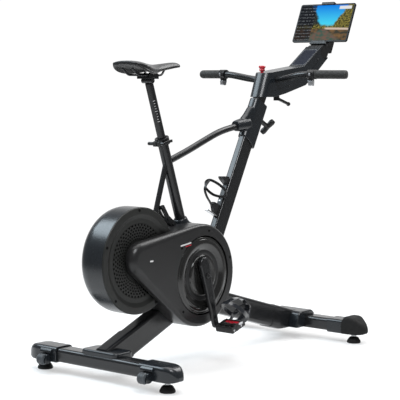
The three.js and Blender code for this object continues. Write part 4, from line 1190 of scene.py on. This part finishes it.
# ---------------------------------------------------------------- seat
def saddle_shape():
    """A crowned shell lofted nose to tail, with a channel along the middle and a tucked underside."""
    # Each station is (x, half width, crown height, rim height, skirt height).
    stations = [
        (-115, 40, 43, 39, 33), (-110, 53, 45, 38, 27), (-92, 65, 45.5, 34, 17), (-70, 68, 44, 28, 8),
        (-40, 60, 40, 20, 3), (-5, 45, 35.5, 17, 5), (30, 32, 35, 19, 12), (75, 24, 39, 25, 20),
        (118, 21, 43, 31, 24), (142, 16, 41, 32, 27), (153, 8, 37.5, 33, 30),
    ]
    table = [smooth_path([(station[0], station[k], 0) for station in stations], 6) for k in (1, 2, 3, 4)]
    rings = []
    for half, crown, rim, skirt in zip(*table):
        x, w, top, edge, foot = half.x, half.y, crown.y, rim.y, skirt.y
        across = 28
        outer, inner = [], []
        for i in range(across + 1):
            t = 1 - 2 * i / across
            tail_fade, nose_fade = min(1, max(0, (x + 105) / 40)), min(1, max(0, (120 - x) / 40))
            channel = 3.2 * math.exp(-((t / 0.13) ** 2)) * tail_fade * nose_fade
            z = top - channel - (top - edge) * abs(t) ** 2.6
            outer.append((x, w * t, z))
            inner.append((x, w * 0.86 * t, z - min(9.5, 0.42 * w) + 1.5 * abs(t)))
        left = [(x, w * 0.90, foot + 0.6), (x, w * 0.965, foot), (x, w * 0.995, edge - (edge - foot) * 0.5)]
        right = [(x, -y, z) for _, y, z in left]
        rings.append(outer + right + inner[::-1] + left)
    return loft(rings)


def seat_post():
    """The round post and the cross barrel at its top that holds the saddle's clamp."""
    shaft = [(0, 260), (13, 260), (13.6, 262), (13.6, 630), (12, 634), (0, 634)]
    shaft = turned(shaft, [0, 0.5, 0.5, 2, 2, 0], 64, "Z")
    barrel = turned([(0, -22), (9.5, -22), (9.5, 22), (0, 22)], [0, 1.5, 1.5, 0], 40)
    return merged(moved(shaft, MM_OF @ SEAT), shifted(barrel, -180, 0, 948))


def height_ticks():
    """Plain printed rules round the back of the seat post, every fourth one longer."""
    ticks = []
    for i in range(9):
        reach = 0.62 if i % 4 == 0 else 0.36
        low = 500 + 9 * i
        section = [(13.3, low), (13.72, low), (13.72, low + 1.6), (13.3, low + 1.6)]
        rings = []
        for k in range(7):
            a = math.radians(235) - reach / 2 + reach * k / 6
            rings.append([(r * math.cos(a), r * math.sin(a), h) for r, h in section])
        ticks.append(loft(rings))
    return merged(*ticks)


def saddle_rails():
    """Two rails bent up to the shell at both ends, and the plate that holds them at the nose."""
    shapes = []
    for k in (-1, 1):
        tail = [(-98, k * 21, 21), (-86, k * 21, 11), (-70, k * 21, 1)]
        level = [(x, k * 21, 0) for x in (-50, -20, 10, 34)]
        nose = [(48, k * 19, 4), (62, k * 14, 14), (76, k * 9, 22)]
        shapes.append(tube(smooth_path(tail + level + nose), 3.5, 16))
    return merged(*shapes, shifted(prism(rectangle(12, 24, 3), -3, 3, "Z"), 78, 0, 23))


def build_seat():
    moulding("seat_clamp", BLACK, 0.8, 4)
    lever = smooth_path([(0, -9, 0), (12, -11.5, 0), (26, -12, -1), (42, -11.5, -4)])
    hub = turned([(0, -14), (6.5, -14), (6.5, -0.4), (0, -0.4)], [0, 2, 1, 0], 32)
    lever = merged(hub, sweep(lever, oval(4.6, 10)))
    skin("seat_clamp_lever", lever, at(-26, -16.4, 430, SEAT), PAINT)
    skin("seat_post", seat_post(), BIKE, PAINT)
    extra("seat_post_scale", "seat_post", height_ticks(), SEAT, MARK)
    moulding("saddle_clamp", RAIL, 0.9, 4)
    bolts = [shifted(bolt_head(4.4, 3.0), x, 0, 7.0) for x in (-13, 13)]
    extra("saddle_clamp_bolts", "saddle_clamp", merged(*bolts), PERCH, STEEL)
    skin("saddle_rails", saddle_rails(), PERCH, RAIL)
    saddle = skin("saddle", saddle_shape(), PERCH, LEATHER, angle=180, weighted=False)
    smooth = saddle.modifiers.new("smooth", "SUBSURF")
    smooth.levels = smooth.render_levels = 1


# ---------------------------------------------------------------- head
def bottle_cage():
    """Two arms wrap round the bottle; a bowed strut runs from where they meet to the web above the shelf."""
    half_ring = [(-4, 0, 2), (-16, 30, 5), (-46, 41, 13), (-76, 28, 22)]
    ring = half_ring + [(-90, 0, 28)] + [(x, -y, z) for x, y, z in reversed(half_ring)]
    strut = [(-90, 0, 28), (-101, 0, 2), (-98, 0, -14), (-78, 0, -29), (-50, 0, -40), (-30, 0, -50)]
    plate = prism(rounded([(-1, -72), (-5, -72), (-5, 72), (-1, 72)], 1), -9, 9)
    tab = prism(rounded([(-4, 50), (-4, 78), (-14, 77), (-44, 63), (-33, 56)], [0, 2, 4, 3, 6]), -10, 10)
    web = prism(rounded([(-4, -66), (-4, -28), (-36, -30), (-44, -40), (-24, -62)], [0, 2, 5, 4, 4]), -6, 6)
    return merged(
        sweep(smooth_path(ring), oval(3.6, 9.5), up=(-0.5, 0, 0.85)),
        sweep(smooth_path(strut, 10), oval(10, 3.4), up=(-1, 0, 0.3)),
        plate,
        tab,
        web,
    )


def bottle_rest():
    """The bright shelf under the bottle, with its turned-up lip."""
    shelf = prism(rounded([(-60, -72), (-2, -72), (-2, -68), (-60, -68)], 1), -8, 8)
    lip = prism(rounded([(-60, -72), (-57, -72), (-57, -62), (-60, -62)], 1.2), -8, 8)
    return merged(shelf, lip)


def build_head_cover():
    """The sleeve at the top of the head post, melted into the socket of the top tube behind it."""
    to_head = HEAD.inverted() @ BIKE
    outline = rounded([(-36.4, -21), (37.0, -21), (37.0, 21), (-36.4, 21)], [19, 9, 9, 19], 8)
    sleeve = loft([[(x, y, 546 - 10 * x / 37) for x, y in outline], [(x, y, 705) for x, y in outline]])
    path = [(286 + 84 * t, 0, 792 + 9 * t) for t in (0, 0.12, 0.25, 0.5, 0.8)]
    socket = sweep(path, circle(19, 40), scale=lambda t: 1 + 0.28 * t)
    fillet = tube([(-62, 0, 586), (-48, 0, 602), (-36, 0, 628), (-26, 0, 662)], 16, 32, up=(0, 1, 0))
    room = [
        prism(rectangle(60.8, 30.8, 8), -40, 697.4, "Z"),
        prism(rectangle(54.2, 24.2, 5), 600, 900, "Z"),
        moved(tube(TOP_TUBE[5:] + [Vector((352, 0, 797))], 12.3), to_head),
        shifted(rod(9, 10, 80, 32, "X"), 0, 0, 652),
    ]
    moulding("head_cover", SHELL, 1.4, 26, merged(sleeve, moved(socket, to_head), fillet), HEAD, room)


def build_head():
    build_head_cover()
    to_head = HEAD.inverted() @ BIKE
    post = prism(rectangle(53, 23, 6), 500, 764, "Z")
    slide = moved(block((419, 533), (-15, 15), (922, 938)), to_head)
    top_room = moved(block((0, 900), (-60, 60), (935, 1200)), to_head)
    skin("handlebar_post", post, HEAD, PAINT, cuts=[top_room], more=slide)
    stem = turned([(0, 2), (8.4, 2), (8.4, 50), (11, 54), (11, 62), (0, 62)], [0, 0.5, 2, 2, 2, 0], 40, "X")
    handle = [(0, -32), (8.5, -32), (11.2, -22), (9.2, 0), (11.2, 22), (8.5, 32), (0, 32)]
    handle = turned(handle, [0, 4, 8, 30, 8, 4, 0], 40, "Z", 6)
    handle = moved(shifted(handle, 62), turn(35, "X"))
    skin("post_knob", merged(stem, handle), at(31, 0, 652, HEAD), BLACK)
    cage = at(-30.4, 0, 314, HEAD)
    skin("bottle_cage", bottle_cage(), cage, BLACK)
    extra("bottle_rest", "bottle_cage", bottle_rest(), cage, ALLOY)
    screw = moved(bolt_head(4.2, 2.0), turn(-90))
    screws = merged(*[shifted(screw, -5, 0, z) for z in (-12, 36)])
    extra("bottle_cage_screws", "bottle_cage", screws, cage, ALLOY)


# ---------------------------------------------------------------- console
def bezier(a, b, c, d, steps=28):
    """Points along a cubic curve, without its end."""
    points = []
    for k in range(steps):
        t = k / steps
        points.append(a * (1 - t) ** 3 + 3 * b * t * (1 - t) ** 2 + 3 * c * t**2 * (1 - t) + d * t**3)
    return points


def bar_path():
    """The handlebar from end to end: level ends swept back, a drop to the clamp in the middle."""
    sweep_back = math.radians(BAR_SWEEP)

    def along(s, d):
        return Vector((464.5 + d * math.sin(sweep_back), s * (180 + d * math.cos(sweep_back)), 974.5))

    def low(y):
        return Vector((480, y, 957))

    path = [along(-1, 143.5), along(-1, 70)]
    path += bezier(along(-1, 0), along(-1, -50), low(-88), low(-44))
    path += bezier(low(-44), low(-15), low(15), low(44), 6)
    path += bezier(low(44), low(88), along(1, -50), along(1, 0))
    path += [along(1, 0), along(1, 70), along(1, 143.5)]
    return path


def grip_shape(s):
    """Ribbed sleeve with a collar at its inner end and a domed outer end."""
    profile = [(0, 143.8), (11.7, 143.8), (11.7, 30), (16.6, 30), (17, 31), (17, 33.4), (16.4, 34.4)]
    position = 37.0
    while position < 139:
        profile += [(14.7, position), (15.5, position + 0.8), (15.5, position + 2.2), (14.7, position + 3.0)]
        position += 3.8
    profile += [(15.2, 142), (14.4, 145.5), (12, 147.6), (8, 148), (0, 148)]
    return lathe([(r, s * y) for r, y in profile], 56)


def console_core():
    """The console's side view made solid, with a round rear end and softened edges."""
    side = [(380, 893), (470, 893), (541, 906), (668, 937), (740, 986), (812, 1040), (765, 1082), (757, 1076),
            (654, 1007), (430, 979), (380, 972)]
    plan = circle(35, 48)[12:37] + [(500, -35), (500, 35)]
    rounded_end = loft([[(438 + x + 0.38 * z, y, 918 + z) for x, y in plan] for z in (-60, 240)])
    core = add_object("console_core", prism(side, -35, 35), BIKE)
    carve(core, rounded_end, BIKE, "INTERSECT")
    soften(core, 5, 4)
    vertices = [tuple(MM_OF @ v.co) for v in core.data.vertices]
    faces = [tuple(f.vertices) for f in core.data.polygons]
    bpy.data.objects.remove(core)
    return vertices, faces


def build_console_body():
    """The console with its seams, sockets and tray, and the phone mat that lies in the tray."""
    seam = [(386, 913), (470, 915), (556, 936), (664, 968), (742, 1022)]
    grooves = [sweep([(x, k * 35.2, z) for x, z in seam], rectangle(2.4, 1.4)) for k in (-1, 1)]
    tray_at = Matrix.Translation((705, 0, 1041.3)) @ turn(-math.degrees(math.atan2(57.8, 86)))
    room = [
        block((415, 579), (-15.6, 15.6), (921.4, 938.6)),
        prism([(380, 860), (414.6, 926), (523, 926), (523, 860)], -12.2, 12.2),
        moved(block((-54, 54), (-31, 31), (-2, 30)), tray_at),
        shifted(rod(26.6, -60, 60, 64), 790, 0, 1062),
        shifted(rod(11.5, -60, 60, 48), 480, 0, 957),
        shifted(rod(6.5, 0, 40, 32, "Z"), 440, 0, 955),
        shifted(rod(5.5, 0, 40, 32, "Z"), 530, 0, 884),
        *grooves,
    ]
    skin("console_body", console_core(), BIKE, SHELL, angle=30, cuts=room)
    mat = rectangle(101, 57, 6)
    tray = BIKE @ tray_at @ Matrix.Translation((0, 0, -2))
    extra("phone_mat", "console_body", prism(mat, -0.4, 1.3, "Z"), tray, NAVY, edge=0.5)
    border = []
    for grow, z in ((1.0, 1.0), (1.015, 1.9), (1.04, 1.9), (1.05, -0.4)):
        border.append([(x * grow, y * (1 + (grow - 1) * 1.7), z) for x, y in mat])
    extra("phone_mat_edge", "console_body", loft(border, caps=False), tray, TRIM)


def build_handlebar():
    skin("handlebar", tube(bar_path(), 11, 32), BIKE, PAINT)
    for label, s in SIDES:
        run = [p + Vector((-9.0, 0, -10.2)) for p in bar_path() if 33 < s * p.y < 196]
        extra(f"cable_{label}", "handlebar", tube(run, 2.4, 12), BIKE, RUBBER)
    blade = rounded([(-12, -22), (7.5, -22), (3.4, -41), (-11, -39.5)], [2, 2, 4, 4])
    for label, s in SIDES:
        hand = hand_frame(s)
        skin(f"grip_{label}", grip_shape(s), hand, GRIP, angle=50)
        moulding(f"shifter_{label}", BLACK, 0.9, 5)
        keep(f"shift_button_{label}", ALLOY, 0.5)
        shape = prism(blade, *sorted((s * 7.2, s * 24.8)))
        extra(f"shift_blade_{label}", f"shifter_{label}", shape, hand, ALLOY, edge=0.8)


def build_tablet():
    """The tablet's slab, and the picture on its front, mapped from corner to corner."""
    width, height, rim_x, rim_z = 248, 159.4, 6, 6.5
    slab = add_object("tablet_skin", prism(rectangle(width, height, 8), 0.4, 8, "X"), TABLET)
    soften(slab, 1.2, 3)
    shade(slab)
    dress(slab, GLASS, "tablet")
    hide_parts("tablet")
    half_w, half_h = width / 2 - rim_x, height / 2 - rim_z
    corners = [(half_w, -half_h), (-half_w, -half_h), (-half_w, half_h), (half_w, half_h)]
    sheet = loft([[(x, y, z) for y, z in corners] for x in (0.9, -0.15)])
    picture = add_object("tablet_picture", sheet, TABLET)
    layer = picture.data.uv_layers.new(name="UVMap")
    inverse = TABLET.inverted()
    for loop in picture.data.loops:
        _, y, z = inverse @ picture.data.vertices[loop.vertex_index].co
        layer.data[loop.index].uv = (0.5 - y / (2 * half_w), 0.5 + z / (2 * half_h))
    shade(picture)
    dress(picture, SCREEN, "tablet")


def build_console():
    build_console_body()
    build_handlebar()
    screw = moved(bolt_head(4.5, 1.4), turn(90, "X"))
    screws = [shifted(screw, x, -34.6, z) for x, z in ((560, 930), (672, 985), (744, 1030))]
    extra("console_screws", "console_body", merged(*screws), BIKE, BLACK)
    knob = [(0, -14), (6, -14), (6, 4), (9.5, 6), (11, 9), (9, 12.5), (9.6, 14.5), (12.4, 17.5), (12.4, 21.5),
            (10, 24), (4, 24.6), (0, 24.6)]
    knob = turned(knob, [0, 0, 1, 2, 2, 2, 2, 2, 2, 2, 1, 0], 56, "Z", 4)
    skin("red_knob", knob, at(440, 0, 981), RED)
    for node, grain, passes in (("console_lever", 0.8, 5), ("tablet_holder", 1.2, 6), ("tablet_jaw", 0.8, 4)):
        moulding(node, BLACK, grain, passes)
    build_tablet()


build_camera()
build_floor()
build_world()
build_lights()
build_base()
build_frame()
build_drum()
build_covers()
build_drive()
build_seat()
build_head()
build_console()
